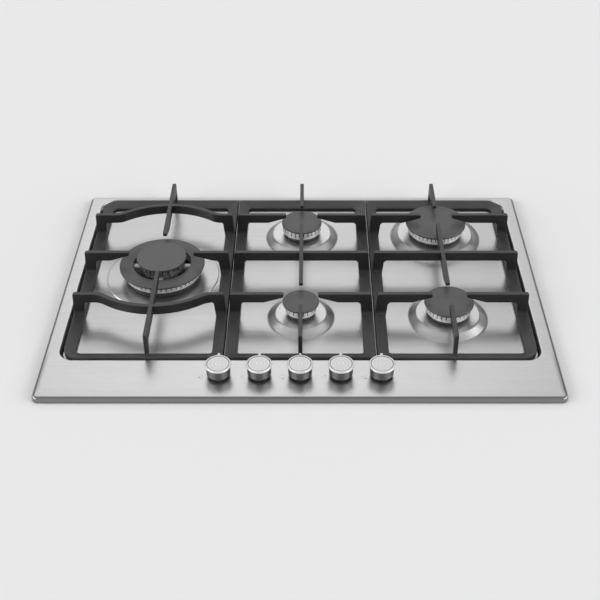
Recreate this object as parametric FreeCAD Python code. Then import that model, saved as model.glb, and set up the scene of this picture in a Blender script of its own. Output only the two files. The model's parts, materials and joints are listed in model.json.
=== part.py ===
import FreeCAD, Part
import math
import os

# A five-burner gas cooktop, in millimetres.
# The origin is the centre of the plate's outline on the worktop's surface.
# +X points to the right of a person standing at the knobs, +Y to the back, +Z up.
# What is above zero stands on the worktop, and what is below hangs in its cut-out.

# ---- the steel plate and its rim ----
plate_width = 750.0
plate_depth = 520.0
plate_corner_radius = 9.0
sheet = 1.0
rim_height = 10.5
rim_round = 4.5
border_crest = 12.0
return_flange = 7.0
seal_height = 1.5
seal_width = 5.0
seal_inset = 1.0

# ---- the sunken well, which holds the burners and the pan supports ----
front_border = 81.0
side_border = 23.0
rear_border = 11.0
well_corner_radius = 14.0
well_floor = 3.0
well_wall_draft = 2.0
pressing_height = 9.0
wok_step_height = 0.8
wok_step_radius = 89.0
disc_margin = 0.5
wall_outside = 3.0
wall_inside = 5.5

# ---- where the burners stand ----
wok_from_left_edge = 152.0
right_from_right_edge = 150.0
centre_x = 0.0
middle_row_shift = 1.0
row_spacing = 108.0

# ---- burner castings ----
crown_top = 32.0
crown_wall = 3.5
crown_recess = 1.5
crown_band = 4.0
skirt_wall = 2.5
floor_gap = 0.5
lip_height = 3.5
cap_thickness = 3.0
cap_spigot = 2.0
casting_gap = 0.4
neck_inset = 12.0
neck_wall = 2.5
cup_base_top = -9.0
cup_base_bottom = -20.0
cup_flange = 3.0
flange_reach = 8.0
port_width = 1.8
port_depth = 4.0
ear_width = 12.0
ear_overhang = 5.0
gas_level = -14.5
plate_hole_gap = 0.5
air_window_height = 5.0
air_window_share = 0.28

# ---- injectors, igniters and flame sensors ----
injector_flats = 7.0
injector_hex_height = 4.0
injector_nose = 2.6
injector_nose_height = 3.0
injector_bore = 1.0
injector_jet = 0.45
element_offset = 4.4
element_hole = 3.9
element_ear_hole = 3.4
element_collar = 4.6
element_collar_height = 2.5
igniter_radius = 3.0
igniter_depth = 16.0
igniter_height = 10.0
igniter_height_wok = 9.0
electrode_radius = 0.9
electrode_height = 3.5
sensor_radius = 2.9
sensor_depth = 14.0
sensor_shoulder = 3.0
probe_radius = 2.1
probe_height = 12.0
probe_height_wok = 10.0

# ---- screws ----
burner_screw_radius = 1.7
burner_screw_offset = 4.5
burner_screw_head = 3.2
burner_screw_head_height = 2.0
burner_screw_hole = 2.2
box_screw_radius = 1.9
box_screw_head = 3.8
box_screw_head_height = 1.8
box_screw_length = 8.0
box_screw_level = -8.0
screw_slot = 0.9
screw_gap = 0.3

# ---- the wok burner, a ring of flame round a centre burner ----
wok_ring_outer = 62.0
wok_ring_inner = 48.0
wok_ring_top = 25.0
wok_ring_floor = 10.0
wok_centre_radius = 36.0
wok_centre_top = 38.0
wok_neck_radius = 30.0
wok_cap_outer = 67.8
wok_cap_inner = 45.6
wok_centre_cap = 39.5
wok_bridge_width = 10.0
wok_bridge_top = 22.0
wok_ring_parts = 12

# ---- pan supports ----
support_clearance_side = 4.5
support_clearance_end = 4.0
middle_support_width = 220.0
support_gap = 3.0
frame_bar = 17.0
frame_front_bar = 13.5
frame_bottom = 4.5
frame_outer_top = 12.5
frame_inner_top = 8.0
frame_corner = 26.0
frame_inside_corner = 5.0
frame_joint_corner = 5.0
foot_radius = 5.0
foot_from_end = 22.0
support_rise = 15.0
post_inset = 0.6
post_overlap = 1.5
finger_depth = 15.5
finger_width = 6.0
tip_depth = 6.0
tip_taper = 30.0
tip_radius = 26.0
wok_tip_radius = 51.5
side_post_width = 16.2
end_post_width = 7.5
post_draft = 2.6
knee_radius = 3.5
post_round = 2.0
tip_round = 1.2
taper_round = 4.0
wok_arc_radius = 125.0
wok_arc_half_chord = 80.0
wok_bend_radius = 7.0
wok_bar_parts = 5

# ---- knobs and gas taps ----
knob_spacing = 58.0
knob_from_front_edge = 48.0
knob_top_radius = 18.8
knob_base_radius = 17.0
knob_top = 33.0
knob_lip = 3.4
knob_wall = 2.0
knob_face = 7.0
knob_dish = 0.4
knob_tab_reach = 3.2
knob_tab_width = 4.6
knob_tab_height = 2.2
push_travel = 3.0
running_gap = 0.3
spindle_radius = 4.0
spindle_flat = 1.2
hub_radius = 7.0
hub_gap = 0.1
spindle_hole_radius = 6.5
collar_radius = 9.0
collar_height = 1.2
drive_pin_radius = 2.0
plug_radius = 5.0
plug_fit = 0.05
plug_length = 17.5
tap_size = 22.0
tap_top = 0.0
tap_bottom = -29.0
tap_floor = 3.0
gas_way = 1.6
feed_way = 2.5
outlet_radius = 6.0
outlet_length = 4.0

# ---- gas pipework ----
manifold_level = -37.0
manifold_radius = 6.5
manifold_bore = 5.0
manifold_pad = 14.0
manifold_overhang = 18.0
manifold_from_wall = 15.0
manifold_corner = 55.0
manifold_rise_start = 85.0
manifold_rise_end = 20.0
manifold_reach = 4.0
manifold_plug = 2.0
inlet_level = -23.0
inlet_thread_radius = 20.955 / 2
inlet_thread_length = 15.0
inlet_block = 20.0
tube_radius = 3.0
tube_bore = 2.2
nut_across_flats = 12.0
nut_length = 8.0
nut_gap = 0.2
# how far along its way each tube starts and ends its sideways swing
tube_swings = {
    "wok": (0.25, 0.72),
    "rear_centre": (0.68, 0.88),
    "rear_right": (0.45, 0.85),
    "front_right": (0.22, 0.72),
}

# ---- the tray that closes the underside ----
box_from_side_edge = 98.0
box_from_front_edge = 25.0
box_bottom = -50.0
box_sheet = 0.8
box_corner = 4.0
recess_width = 81.0
recess_depth = 50.0
recess_roof = -10.0
clamp_from_side = 32.0
clamp_from_front = 25.0
clamp_from_back = 65.0
clamp_hole_radius = 2.1
vent_count = 7
vent_length = 40.0
vent_width = 3.0
vent_pitch = 12.0
vent_group_x = 110.0
bracket_leg = 14.0
bracket_wide = 20.0
bracket_drop = 18.0
bracket_sheet = 1.2
tap_bracket_sheet = 1.5
tap_bracket_overhang = 38.0
tap_bracket_foot = 12.0
tap_bracket_half_depth = 14.0

# ---- the mains gland and the ignition ----
gland_level = -32.0
gland_thread_radius = 8.0
gland_bore_radius = 3.75
gland_dome_length = 8.0
gland_tip_length = 4.0
gland_nut_flats = 21.0
gland_nut_length = 5.0
gland_share = 0.66
switch_width = 7.0
switch_depth = 14.0
switch_offset = 10.5
switch_button = 1.2
generator_left = -150.0
generator_from_recess = 55.0
generator_length = 62.0
generator_width = 36.0
generator_height = 24.0
generator_ear = 9.0
terminal_height = 7.0

# ---- values that follow ----
underside = well_floor - sheet
well_left = -plate_width / 2 + side_border
well_right = plate_width / 2 - side_border
well_front = -plate_depth / 2 + front_border
well_back = plate_depth / 2 - rear_border
disc_top = well_floor + pressing_height
wok_x = -plate_width / 2 + wok_from_left_edge
right_x = plate_width / 2 - right_from_right_edge
middle_row_y = (well_front + well_back) / 2 + middle_row_shift
rear_row_y = middle_row_y + row_spacing
front_row_y = middle_row_y - row_spacing
knob_row_y = -plate_depth / 2 + knob_from_front_edge
box_width = plate_width - 2 * box_from_side_edge
box_depth = plate_depth - 2 * box_from_front_edge
box_inside = box_bottom + box_sheet
border_slope = (border_crest - rim_height) / (front_border - rim_round)
plate_at_knobs = border_crest - border_slope * (well_front - knob_row_y)
plate_behind_knobs = plate_at_knobs + border_slope * knob_base_radius
knob_base = plate_behind_knobs + push_travel + running_gap
collar_top = plate_at_knobs - sheet - 3 * running_gap
collar_bottom = collar_top - collar_height
support_top = crown_top + cap_thickness + support_rise
finger_bottom = support_top - finger_depth
plug_top = tap_bottom + tap_floor + running_gap + plug_length
recess_left = box_width / 2 - recess_width
recess_front = box_depth / 2 - recess_depth
gland_y = recess_front + gland_share * recess_depth
manifold_side_x = box_width / 2 - manifold_from_wall

burners = [
    {"name": "rear_centre", "x": centre_x, "y": rear_row_y, "crown": 32.0, "cap": 33.4,
     "disc": 48.5, "foot": 60.0, "ports": 28},
    {"name": "front_centre", "x": centre_x, "y": front_row_y, "crown": 23.7, "cap": 27.7,
     "disc": 39.0, "foot": 51.0, "ports": 20},
    {"name": "rear_right", "x": right_x, "y": rear_row_y, "crown": 45.7, "cap": 50.0,
     "disc": 62.0, "foot": 75.0, "ports": 40},
    {"name": "front_right", "x": right_x, "y": front_row_y, "crown": 34.4, "cap": 37.6,
     "disc": 48.5, "foot": 60.5, "ports": 30},
]
# the taps from left to right, each with the burner that it feeds
tap_order = ["wok", "rear_centre", "front_centre", "rear_right", "front_right"]


# ---- helpers ----
def vec(x, y, z=0.0):
    return FreeCAD.Vector(x, y, z)


up = vec(0, 0, 1)
along_x = vec(1, 0, 0)
along_y = vec(0, 1, 0)


def save(name, shape):
    solids = shape.Solids
    if not solids:
        raise ValueError(name + " has no solid")
    for solid in solids:
        if not solid.isValid():
            raise ValueError(name + " has a solid that isn't valid")
    out = solids[0] if len(solids) == 1 else Part.makeCompound(solids)
    out.exportStep("parts/" + name + ".step")
    volume = sum(s.Volume for s in solids)
    print(name, len(solids), "solid(s)", round(volume / 1000, 2), "cm3")


def box(x0, x1, y0, y1, z0, z1):
    return Part.makeBox(x1 - x0, y1 - y0, z1 - z0, vec(x0, y0, z0))


def rod(radius, x, y, z0, z1):
    return Part.makeCylinder(radius, z1 - z0, vec(x, y, z0), up)


def cone(radius_low, radius_high, x, y, z0, z1):
    return Part.makeCone(radius_low, radius_high, z1 - z0, vec(x, y, z0), up)


def fuse(shapes):
    whole = shapes[0].multiFuse(shapes[1:]) if len(shapes) > 1 else shapes[0]
    return whole.removeSplitter()


def cut(shape, tools):
    return shape.cut(Part.makeCompound(tools)) if tools else shape


def divided(shape, cuts_x, cuts_y):
    """The pieces of a casting, which meet face to face at upright cuts across X and across Y.

    A casting that bends round open air is drawn in simple bars, so that each is close to convex.
    """
    bounds = shape.BoundBox
    xs = [bounds.XMin - 1] + sorted(cuts_x) + [bounds.XMax + 1]
    ys = [bounds.YMin - 1] + sorted(cuts_y) + [bounds.YMax + 1]
    pieces = []
    for x0, x1 in zip(xs, xs[1:]):
        for y0, y1 in zip(ys, ys[1:]):
            cell = box(x0, x1, y0, y1, bounds.ZMin - 1, bounds.ZMax + 1)
            pieces += shape.common(cell).Solids
    return pieces


def revolve(points, x, y):
    """Turn an outline of (radius, height) points about the upright axis through x, y."""
    corners = [vec(r, 0, z) for r, z in points]
    face = Part.Face(Part.makePolygon(corners + corners[:1]))
    solid = face.revolve(vec(0, 0, 0), up, 360)
    solid.translate(vec(x, y, 0))
    return solid


def rectangle(x0, x1, y0, y1, z, radii):
    """A wire round a rectangle, with its corner radii listed from front left, anticlockwise."""
    corners = [(x0, y0, 1, 1), (x1, y0, -1, 1), (x1, y1, -1, -1), (x0, y1, 1, -1)]
    edges = []
    last = None
    first = None
    for index, (x, y, sx, sy) in enumerate(corners):
        r = radii[index]
        c = vec(x + sx * r, y + sy * r, z)
        on_x = vec(x, c.y, z)
        on_y = vec(c.x, y, z)
        enter, leave = (on_x, on_y) if index % 2 == 0 else (on_y, on_x)
        middle = c + vec(-sx, -sy, 0) * (r / math.sqrt(2))
        if last is not None:
            edges.append(Part.LineSegment(last, enter).toShape())
        else:
            first = enter
        edges.append(Part.Arc(enter, middle, leave).toShape())
        last = leave
    edges.append(Part.LineSegment(last, first).toShape())
    return Part.Wire(edges)


def slab(x0, x1, y0, y1, z0, z1, radii):
    radii = [radii] * 4 if isinstance(radii, (int, float)) else radii
    return Part.Face(rectangle(x0, x1, y0, y1, z0, radii)).extrude(vec(0, 0, z1 - z0))


def rounded_outline(points, place):
    """A closed wire through (a, b, radius) corners, each rounded by its own radius."""
    count = len(points)
    corners = []
    for i in range(count):
        a, b, radius = points[i]
        here = vec(a, b)
        before = vec(*points[i - 1][:2]) - here
        after = vec(*points[(i + 1) % count][:2]) - here
        before.normalize()
        after.normalize()
        half = math.acos(max(-1.0, min(1.0, before.dot(after)))) / 2
        if radius <= 0:
            corners.append([here])
            continue
        reach = radius / math.tan(half)
        bisector = before + after
        bisector.normalize()
        centre = here + bisector * (radius / math.sin(half))
        corners.append([here + before * reach, centre - bisector * radius, here + after * reach])
    edges = []
    for i, corner in enumerate(corners):
        if len(corner) == 3:
            edges.append(Part.Arc(*[place(p) for p in corner]).toShape())
        following = corners[(i + 1) % count][0]
        if (following - corner[-1]).Length > 1e-6:
            edges.append(Part.LineSegment(place(corner[-1]), place(following)).toShape())
    return Part.Wire(edges)


def pipe_path(points):
    """Straight runs joined by arcs as large as the runs on each side allow."""
    corners = [vec(*p) for p in points]
    edges = []
    start = corners[0]
    for i in range(1, len(corners) - 1):
        here = corners[i]
        back = corners[i - 1] - here
        forward = corners[i + 1] - here
        reach = 0.45 * min(back.Length, forward.Length)
        back.normalize()
        forward.normalize()
        turn = math.pi - math.acos(max(-1.0, min(1.0, back.dot(forward))))
        radius = reach / math.tan(turn / 2)
        bisector = back + forward
        bisector.normalize()
        middle = here + bisector * (radius / math.cos(turn / 2) - radius)
        enter = here + back * reach
        leave = here + forward * reach
        edges.append(Part.LineSegment(start, enter).toShape())
        edges.append(Part.Arc(enter, middle, leave).toShape())
        print("  bend radius", round(radius, 1))
        start = leave
    edges.append(Part.LineSegment(start, corners[-1]).toShape())
    return Part.Wire(edges)


def pipe(points, radius, bore):
    """The outside of a pipe and the room in it, as two solids along one route."""
    path = pipe_path(points)
    heading = vec(*points[1]) - vec(*points[0])
    sections = [Part.Wire([Part.makeCircle(r, vec(*points[0]), heading)]) for r in (radius, bore)]
    return [path.makePipeShell([section], True, False) for section in sections]


def hexagon(across_flats, start, heading, length):
    """A hexagonal prism from a point along a heading."""
    corner = across_flats / math.sqrt(3)
    heading = FreeCAD.Vector(heading)
    heading.normalize()
    side = heading.cross(up) if abs(heading.z) < 0.9 else along_x
    turn = FreeCAD.Rotation(heading, 60)
    points = []
    arm = side * corner
    for _ in range(6):
        points.append(start + arm)
        arm = turn.multVec(arm)
    face = Part.Face(Part.makePolygon(points + points[:1]))
    return face.extrude(heading * length)


def d_shaft(radius, flat, x, y, z0, z1):
    """A round shaft with one flat, on its front side."""
    shaft = rod(radius, x, y, z0, z1)
    return shaft.cut(box(x - radius, x + radius, y - radius, y - radius + flat, z0, z1))


def burner_named(name):
    return next(b for b in burners if b["name"] == name)


def burner_place(name):
    if name == "wok":
        return wok_x, middle_row_y
    burner = burner_named(name)
    return burner["x"], burner["y"]


def neck_radius(name):
    return wok_neck_radius if name == "wok" else burner_named(name)["crown"] - neck_inset


def seat_level(name):
    """The height of the steel that a burner's crown stands over."""
    return well_floor + wok_step_height if name == "wok" else disc_top


def crown_radius(name):
    return wok_ring_outer if name == "wok" else burner_named(name)["crown"]


def element_places(name):
    """Where a burner's igniter and flame sensor stand, behind its crown."""
    x, y = burner_place(name)
    reach = crown_radius(name) + element_offset
    places = []
    for angle in (120, 60):
        a = math.radians(angle)
        places.append((x + reach * math.cos(a), y + reach * math.sin(a)))
    return places


def screw_places(name):
    """The two screws that hold a burner cup up against the plate, left and right."""
    x, y = burner_place(name)
    reach = neck_radius(name) + burner_screw_offset
    return [(x - reach, y), (x + reach, y)]


def tap_x(index):
    return (index - 2) * knob_spacing


# ---- the steel plate ----
def plate_pieces(plate):
    """The pressed sheet as its flat floor, raised discs, corners, and a rim, border and wall on each side."""
    side_x = well_right - well_corner_radius
    front_y = well_front + well_corner_radius
    back_y = well_back - well_corner_radius
    rim_x = plate_width / 2 - return_flange
    rim_y = plate_depth / 2 - return_flange
    low, high = seal_height - 1, border_crest + 1
    discs = [rod(b["foot"] + disc_margin, b["x"], b["y"], low, high) for b in burners]
    discs.append(rod(wok_step_radius + disc_margin, wok_x, middle_row_y, low, high))
    pieces = []
    for cell in divided(plate, [-side_x, side_x], [front_y, back_y]):
        middle = cell.BoundBox.Center
        if abs(middle.x) > side_x and not front_y < middle.y < back_y:
            pieces.append(cell)
        elif middle.x > side_x:
            pieces += divided(cell, [rim_x, well_right + wall_outside, well_right - wall_inside], [])
        elif middle.x < -side_x:
            pieces += divided(cell, [-rim_x, well_left - wall_outside, well_left + wall_inside], [])
        elif middle.y < front_y:
            pieces += divided(cell, [], [-rim_y, well_front - wall_outside, well_front + wall_inside])
        elif middle.y > back_y:
            pieces += divided(cell, [], [rim_y, well_back - wall_inside])
        else:
            pieces += cell.cut(Part.makeCompound(discs)).Solids
            for disc in discs:
                pieces += cell.common(disc).Solids
    return pieces


def hob_top():
    half_w = plate_width / 2
    half_d = plate_depth / 2

    def crowned_block(inset, bottom):
        """The rim and the border as one block, inset on every side by the sheet for its hollow."""
        x, y = half_w - inset, half_d - inset
        corner = plate_corner_radius - inset
        top = rim_height - inset
        block = slab(-x, x, -y, y, bottom, top, corner)
        edges = [e for e in block.Edges if min(v.Z for v in e.Vertexes) > top - 1e-6]
        block = block.makeFillet(rim_round - inset, edges)
        ledge = rim_round
        low = rectangle(-half_w + ledge, half_w - ledge, -half_d + ledge, half_d - ledge, top,
                        [rim_round] * 4)
        high = rectangle(well_left - inset, well_right + inset, well_front - inset, well_back + inset,
                         border_crest - inset, [well_corner_radius + inset] * 4)
        return block, Part.makeLoft([low, high], True, True)

    def bowl(grow, floor):
        """The room inside the well, or with grow its outside."""
        top = rectangle(well_left - grow, well_right + grow, well_front - grow, well_back + grow,
                        border_crest, [well_corner_radius + grow] * 4)
        inset = well_wall_draft - grow
        foot = rectangle(well_left + inset, well_right - inset, well_front + inset, well_back - inset,
                         floor, [well_corner_radius - inset] * 4)
        return Part.makeLoft([foot, top], True, True)

    outer, outer_crest = crowned_block(0.0, seal_height)
    inner, inner_crest = crowned_block(sheet, seal_height + sheet)
    mouth = slab(-half_w + return_flange, half_w - return_flange, -half_d + return_flange,
                 half_d - return_flange, seal_height, seal_height + sheet, 3.0)
    hollow = inner.fuse(inner_crest).cut(bowl(sheet, underside))
    plate = outer.fuse(outer_crest).cut(bowl(0.0, well_floor))
    plate = plate.cut(hollow).cut(mouth.cut(bowl(sheet, underside)))

    step = [rod(wok_step_radius, wok_x, middle_row_y, well_floor, well_floor + wok_step_height)]
    raised = [cone(b["foot"], b["disc"], b["x"], b["y"], well_floor, disc_top) for b in burners]
    plate = plate.multiFuse(step + raised)
    below = [rod(wok_step_radius - sheet, wok_x, middle_row_y, underside - 1, underside + wok_step_height)]
    for b in burners:
        below.append(cone(b["foot"] - sheet, b["disc"] - sheet, b["x"], b["y"], underside, disc_top - sheet))
    plate = cut(plate, below)

    holes = []
    for name in tap_order:
        x, y = burner_place(name)
        low, high = underside - 1, seat_level(name) + 1
        holes.append(rod(neck_radius(name) + plate_hole_gap, x, y, low, high))
        for px, py in element_places(name):
            holes.append(rod(element_hole, px, py, low, high))
        for px, py in screw_places(name):
            holes.append(rod(burner_screw_hole, px, py, low, high))
    for index in range(len(tap_order)):
        holes.append(rod(spindle_hole_radius, tap_x(index), knob_row_y, well_floor, border_crest + 1))
    save("hob_top", Part.makeCompound(plate_pieces(cut(plate, holes))))


def rim_seal():
    half_w = plate_width / 2 - seal_inset
    half_d = plate_depth / 2 - seal_inset
    corner = plate_corner_radius - seal_inset
    outer = slab(-half_w, half_w, -half_d, half_d, 0, seal_height, corner)
    w, d = half_w - seal_width, half_d - seal_width
    save("rim_seal", outer.cut(slab(-w, w, -d, d, 0, seal_height, corner - seal_width)))


# ---- the tray ----
def bracket_spots():
    """Where an angle bracket joins the tray's wall to the plate: a point on the wall, and its normal."""
    half_w, half_d = box_width / 2, box_depth / 2
    spots = []
    for y in (-0.26 * box_depth, 0.33 * box_depth):
        spots.append((-half_w, y, -1, 0))
        spots.append((half_w, y, 1, 0))
    for x in (-0.18 * box_width, 0.18 * box_width):
        spots.append((x, half_d, 0, 1))
    return spots


def base_box():
    half_w, half_d = box_width / 2, box_depth / 2
    notch = box(recess_left, half_w + 1, recess_front, half_d + 1, box_bottom - 1, recess_roof)
    shell = slab(-half_w, half_w, -half_d, half_d, box_bottom, underside, box_corner).cut(notch)
    w, d = half_w - box_sheet, half_d - box_sheet
    room = slab(-w, w, -d, d, box_inside, underside, box_corner - box_sheet)
    room = room.cut(box(recess_left - box_sheet, half_w + 1, recess_front - box_sheet, half_d + 1,
                        box_bottom - 1, recess_roof + box_sheet))
    tray = shell.cut(room)
    holes = []
    clamp_x = half_w - clamp_from_side
    for x in (-clamp_x, clamp_x):
        for y in (clamp_from_front - half_d, half_d - clamp_from_back):
            holes.append(rod(clamp_hole_radius, x, y, box_bottom - 1, box_inside + 1))
    for side in (-1, 1):
        for i in range(vent_count):
            x = side * vent_group_x + (i - (vent_count - 1) / 2) * vent_pitch
            holes.append(slab(x - vent_width / 2, x + vent_width / 2, -vent_length / 2, vent_length / 2,
                              box_bottom - 1, box_inside + 1, vent_width / 2 - 0.01))
    for x, y, nx, ny in bracket_spots():
        start = vec(x + nx, y + ny, box_screw_level)
        holes.append(Part.makeCylinder(box_screw_radius + screw_gap, 4, start, vec(-nx, -ny, 0)))
    pipe_start = vec(manifold_side_x, recess_front - 2, inlet_level)
    holes.append(Part.makeCylinder(manifold_radius + 2 * screw_gap, 4, pipe_start, along_y))
    gland_start = vec(recess_left - 2, gland_y, gland_level)
    holes.append(Part.makeCylinder(gland_thread_radius + screw_gap, 4, gland_start, along_x))
    save("base_box", cut(tray, holes))


def side_brackets():
    half = bracket_wide / 2
    pieces = []
    for x, y, nx, ny in bracket_spots():
        inner_x = x - nx * (box_sheet + nut_gap)
        inner_y = y - ny * (box_sheet + nut_gap)

        def leaf(depth, low):
            """A leaf as deep as this inward from the tray's wall, from this height to the plate."""
            if nx:
                a, b = sorted((inner_x, inner_x - nx * depth))
                return box(a, b, y - half, y + half, low, underside)
            a, b = sorted((inner_y, inner_y - ny * depth))
            return box(x - half, x + half, a, b, low, underside)

        upright = leaf(bracket_sheet, underside - bracket_drop)
        flat = leaf(bracket_leg, underside - bracket_sheet)
        start = vec(x, y, box_screw_level)
        hole = Part.makeCylinder(box_screw_radius + screw_gap, 10, start, vec(-nx, -ny, 0))
        pieces.append(fuse([upright, flat]).cut(hole))
    save("side_brackets", Part.makeCompound(pieces))


def box_screws():
    pieces = []
    for x, y, nx, ny in bracket_spots():
        inward = vec(-nx, -ny, 0)
        face = vec(x, y, box_screw_level)
        shank = Part.makeCylinder(box_screw_radius, box_screw_length, face, inward)
        head = Part.makeCylinder(box_screw_head, box_screw_head_height, face, inward * -1)
        slot = box(-screw_slot / 2, screw_slot / 2, -screw_slot / 2, screw_slot / 2, -2.5, 2.5)
        slot.translate(face - inward * (box_screw_head_height - screw_slot / 3))
        pieces.append(fuse([shank, head]).cut(slot))
    save("box_screws", Part.makeCompound(pieces))


# ---- burners ----
def burner_body(name):
    """A cast cup under the plate, with a neck through it and ears for the igniter and the sensor."""
    x, y = burner_place(name)
    neck = neck_radius(name)
    under = seat_level(name) - sheet
    lip = seat_level(name) + lip_height
    flange = neck + flange_reach
    body = revolve([(0, cup_base_bottom), (neck - 1, cup_base_bottom), (neck, cup_base_bottom + 1),
                    (neck, under - cup_flange), (flange, under - cup_flange), (flange, under),
                    (neck, under), (neck, lip), (neck - neck_wall, lip),
                    (neck - neck_wall, cup_base_top), (0, cup_base_top)], x, y)
    parts = [body]
    for px, py in element_places(name):
        reach = math.hypot(px - x, py - y) + ear_overhang
        ear = box(neck - 0.5, reach, -ear_width / 2, ear_width / 2, under - cup_flange, under)
        ear.rotate(vec(0, 0, 0), up, math.degrees(math.atan2(py - y, px - x)))
        ear.translate(vec(x, y, 0))
        parts.append(ear)
    inlet_face = y - neck - outlet_length
    parts.append(Part.makeCylinder(outlet_radius - 1, neck, vec(x, inlet_face, gas_level), along_y))
    body = fuse(parts)
    holes = [Part.makeCylinder(tube_bore, neck + outlet_length, vec(x, inlet_face, gas_level), along_y)]
    holes.append(rod(injector_nose, x, y, gas_level, cup_base_top))
    holes += [rod(element_ear_hole, px, py, under - 10, under + 1) for px, py in element_places(name)]
    holes += [rod(burner_screw_radius, px, py, under - 10, under + 1) for px, py in screw_places(name)]
    # the air for the flame is drawn in through windows in the cup's wall
    half = neck * air_window_share
    low = cup_base_top + 1.5
    for angle in (45, 135):
        window = box(-neck - 2, neck + 2, -half, half, low, low + air_window_height)
        window.rotate(vec(0, 0, 0), up, angle)
        window.translate(vec(x, y, 0))
        holes.append(window)
    save("burner_body_" + name, cut(body, holes))


def burner_screws():
    pieces = []
    for name in tap_order:
        seat = seat_level(name)
        for x, y in screw_places(name):
            top = seat + burner_screw_head_height
            head = rod(burner_screw_head, x, y, seat, top)
            shank = rod(burner_screw_radius, x, y, seat - sheet - cup_flange - 2, seat)
            half = burner_screw_head + 1
            slot = box(x - half, x + half, y - screw_slot / 2, y + screw_slot / 2, top - screw_slot, top + 1)
            pieces.append(fuse([head, shank]).cut(slot))
    save("burner_screws", Part.makeCompound(pieces))


def injectors():
    pieces = []
    for name in tap_order:
        x, y = burner_place(name)
        shoulder = cup_base_top + injector_hex_height
        tip = shoulder + injector_nose_height
        hexagonal = hexagon(injector_flats, vec(x, y, cup_base_top), up, injector_hex_height)
        nose = rod(injector_nose, x, y, shoulder, tip)
        thread = rod(injector_nose, x, y, cup_base_top - 2.5, cup_base_top)
        bore = rod(injector_bore, x, y, cup_base_top - 3, tip - 1)
        jet = rod(injector_jet, x, y, tip - 1, tip)
        pieces.append(fuse([hexagonal, nose, thread]).cut(bore).cut(jet))
    save("injectors", Part.makeCompound(pieces))


def spark_plugs():
    pieces = []
    for name in tap_order:
        x, y = element_places(name)[0]
        under = seat_level(name) - sheet - cup_flange
        top = seat_level(name) + (igniter_height_wok if name == "wok" else igniter_height)
        ceramic = rod(igniter_radius, x, y, under - igniter_depth, top)
        collar = rod(element_collar, x, y, under - element_collar_height, under)
        tip = rod(electrode_radius, x, y, top, top + electrode_height)
        pieces.append(fuse([ceramic, collar, tip]))
    save("spark_plugs", Part.makeCompound(pieces))


def thermocouples():
    pieces = []
    for name in tap_order:
        x, y = element_places(name)[1]
        under = seat_level(name) - sheet - cup_flange
        shoulder = seat_level(name) + sensor_shoulder
        top = seat_level(name) + (probe_height_wok if name == "wok" else probe_height)
        barrel = rod(sensor_radius, x, y, under - sensor_depth, shoulder)
        collar = rod(element_collar, x, y, under - element_collar_height, under)
        probe = rod(probe_radius, x, y, shoulder, top)
        pieces.append(fuse([barrel, collar, probe]))
    save("thermocouples", Part.makeCompound(pieces))


def port_cutters(x, y, radius, wall, top, count):
    """Narrow slots down from the rim of a crown's wall, where the gas comes out."""
    cutters = []
    for i in range(count):
        slot = box(radius - wall - 1, radius + 1, -port_width / 2, port_width / 2, top - port_depth, top + 1)
        slot.rotate(vec(0, 0, 0), up, 360.0 * (i + 0.5) / count)
        slot.translate(vec(x, y, 0))
        cutters.append(slot)
    return cutters


def burner_crown(name):
    """The cast ring of flame ports, which stands loose on the cup's lip."""
    burner = burner_named(name)
    x, y, r = burner["x"], burner["y"], burner["crown"]
    lip = disc_top + lip_height
    inner = neck_radius(name) - neck_wall - casting_gap
    throat = min(7.5, inner - 3)
    skirt = r - crown_recess
    band = crown_top - 2 * crown_band - 4
    outline = [(throat, 2.0), (throat + 2, 2.0), (throat + 2, lip - 2), (inner, lip - 2), (inner, lip),
               (skirt - skirt_wall, lip), (skirt - skirt_wall, disc_top + floor_gap),
               (skirt, disc_top + floor_gap), (skirt, lip + 0.5), (r, lip + 1.5), (r, crown_top),
               (r - crown_wall, crown_top), (r - crown_wall, band), (throat + 2, band),
               (throat + 2, band + 4), (throat, band + 4)]
    crown = revolve(outline, x, y)
    save("crown_" + name, cut(crown, port_cutters(x, y, r, crown_wall, crown_top, burner["ports"])))


def burner_cap(name):
    burner = burner_named(name)
    x, y, r = burner["x"], burner["y"], burner["cap"]
    spigot = burner["crown"] - crown_wall - casting_gap
    top = crown_top + cap_thickness
    cap = revolve([(0, crown_top), (spigot - 3, crown_top), (spigot - 3, crown_top - cap_spigot),
                   (spigot, crown_top - cap_spigot), (spigot, crown_top), (r - 0.6, crown_top),
                   (r, crown_top + 0.6), (r, top - 0.8), (r - 0.8, top), (0, top)], x, y)
    save("cap_" + name, cap)


def in_sectors(ring, x, y, radius, count):
    """A ring in equal parts that meet face to face."""
    bounds = ring.BoundBox
    pieces = []
    for i in range(count):
        a, b = math.radians(360.0 * i / count), math.radians(360.0 * (i + 1) / count)
        reach = radius / math.cos((b - a) / 2)
        corners = [vec(x, y), vec(x + reach * math.cos(a), y + reach * math.sin(a)),
                   vec(x + reach * math.cos(b), y + reach * math.sin(b)), vec(x, y)]
        wedge = Part.Face(Part.makePolygon(corners)).extrude(vec(0, 0, bounds.ZLength + 2))
        wedge.translate(vec(0, 0, bounds.ZMin - 1))
        pieces += ring.common(wedge).Solids
    return pieces


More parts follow.
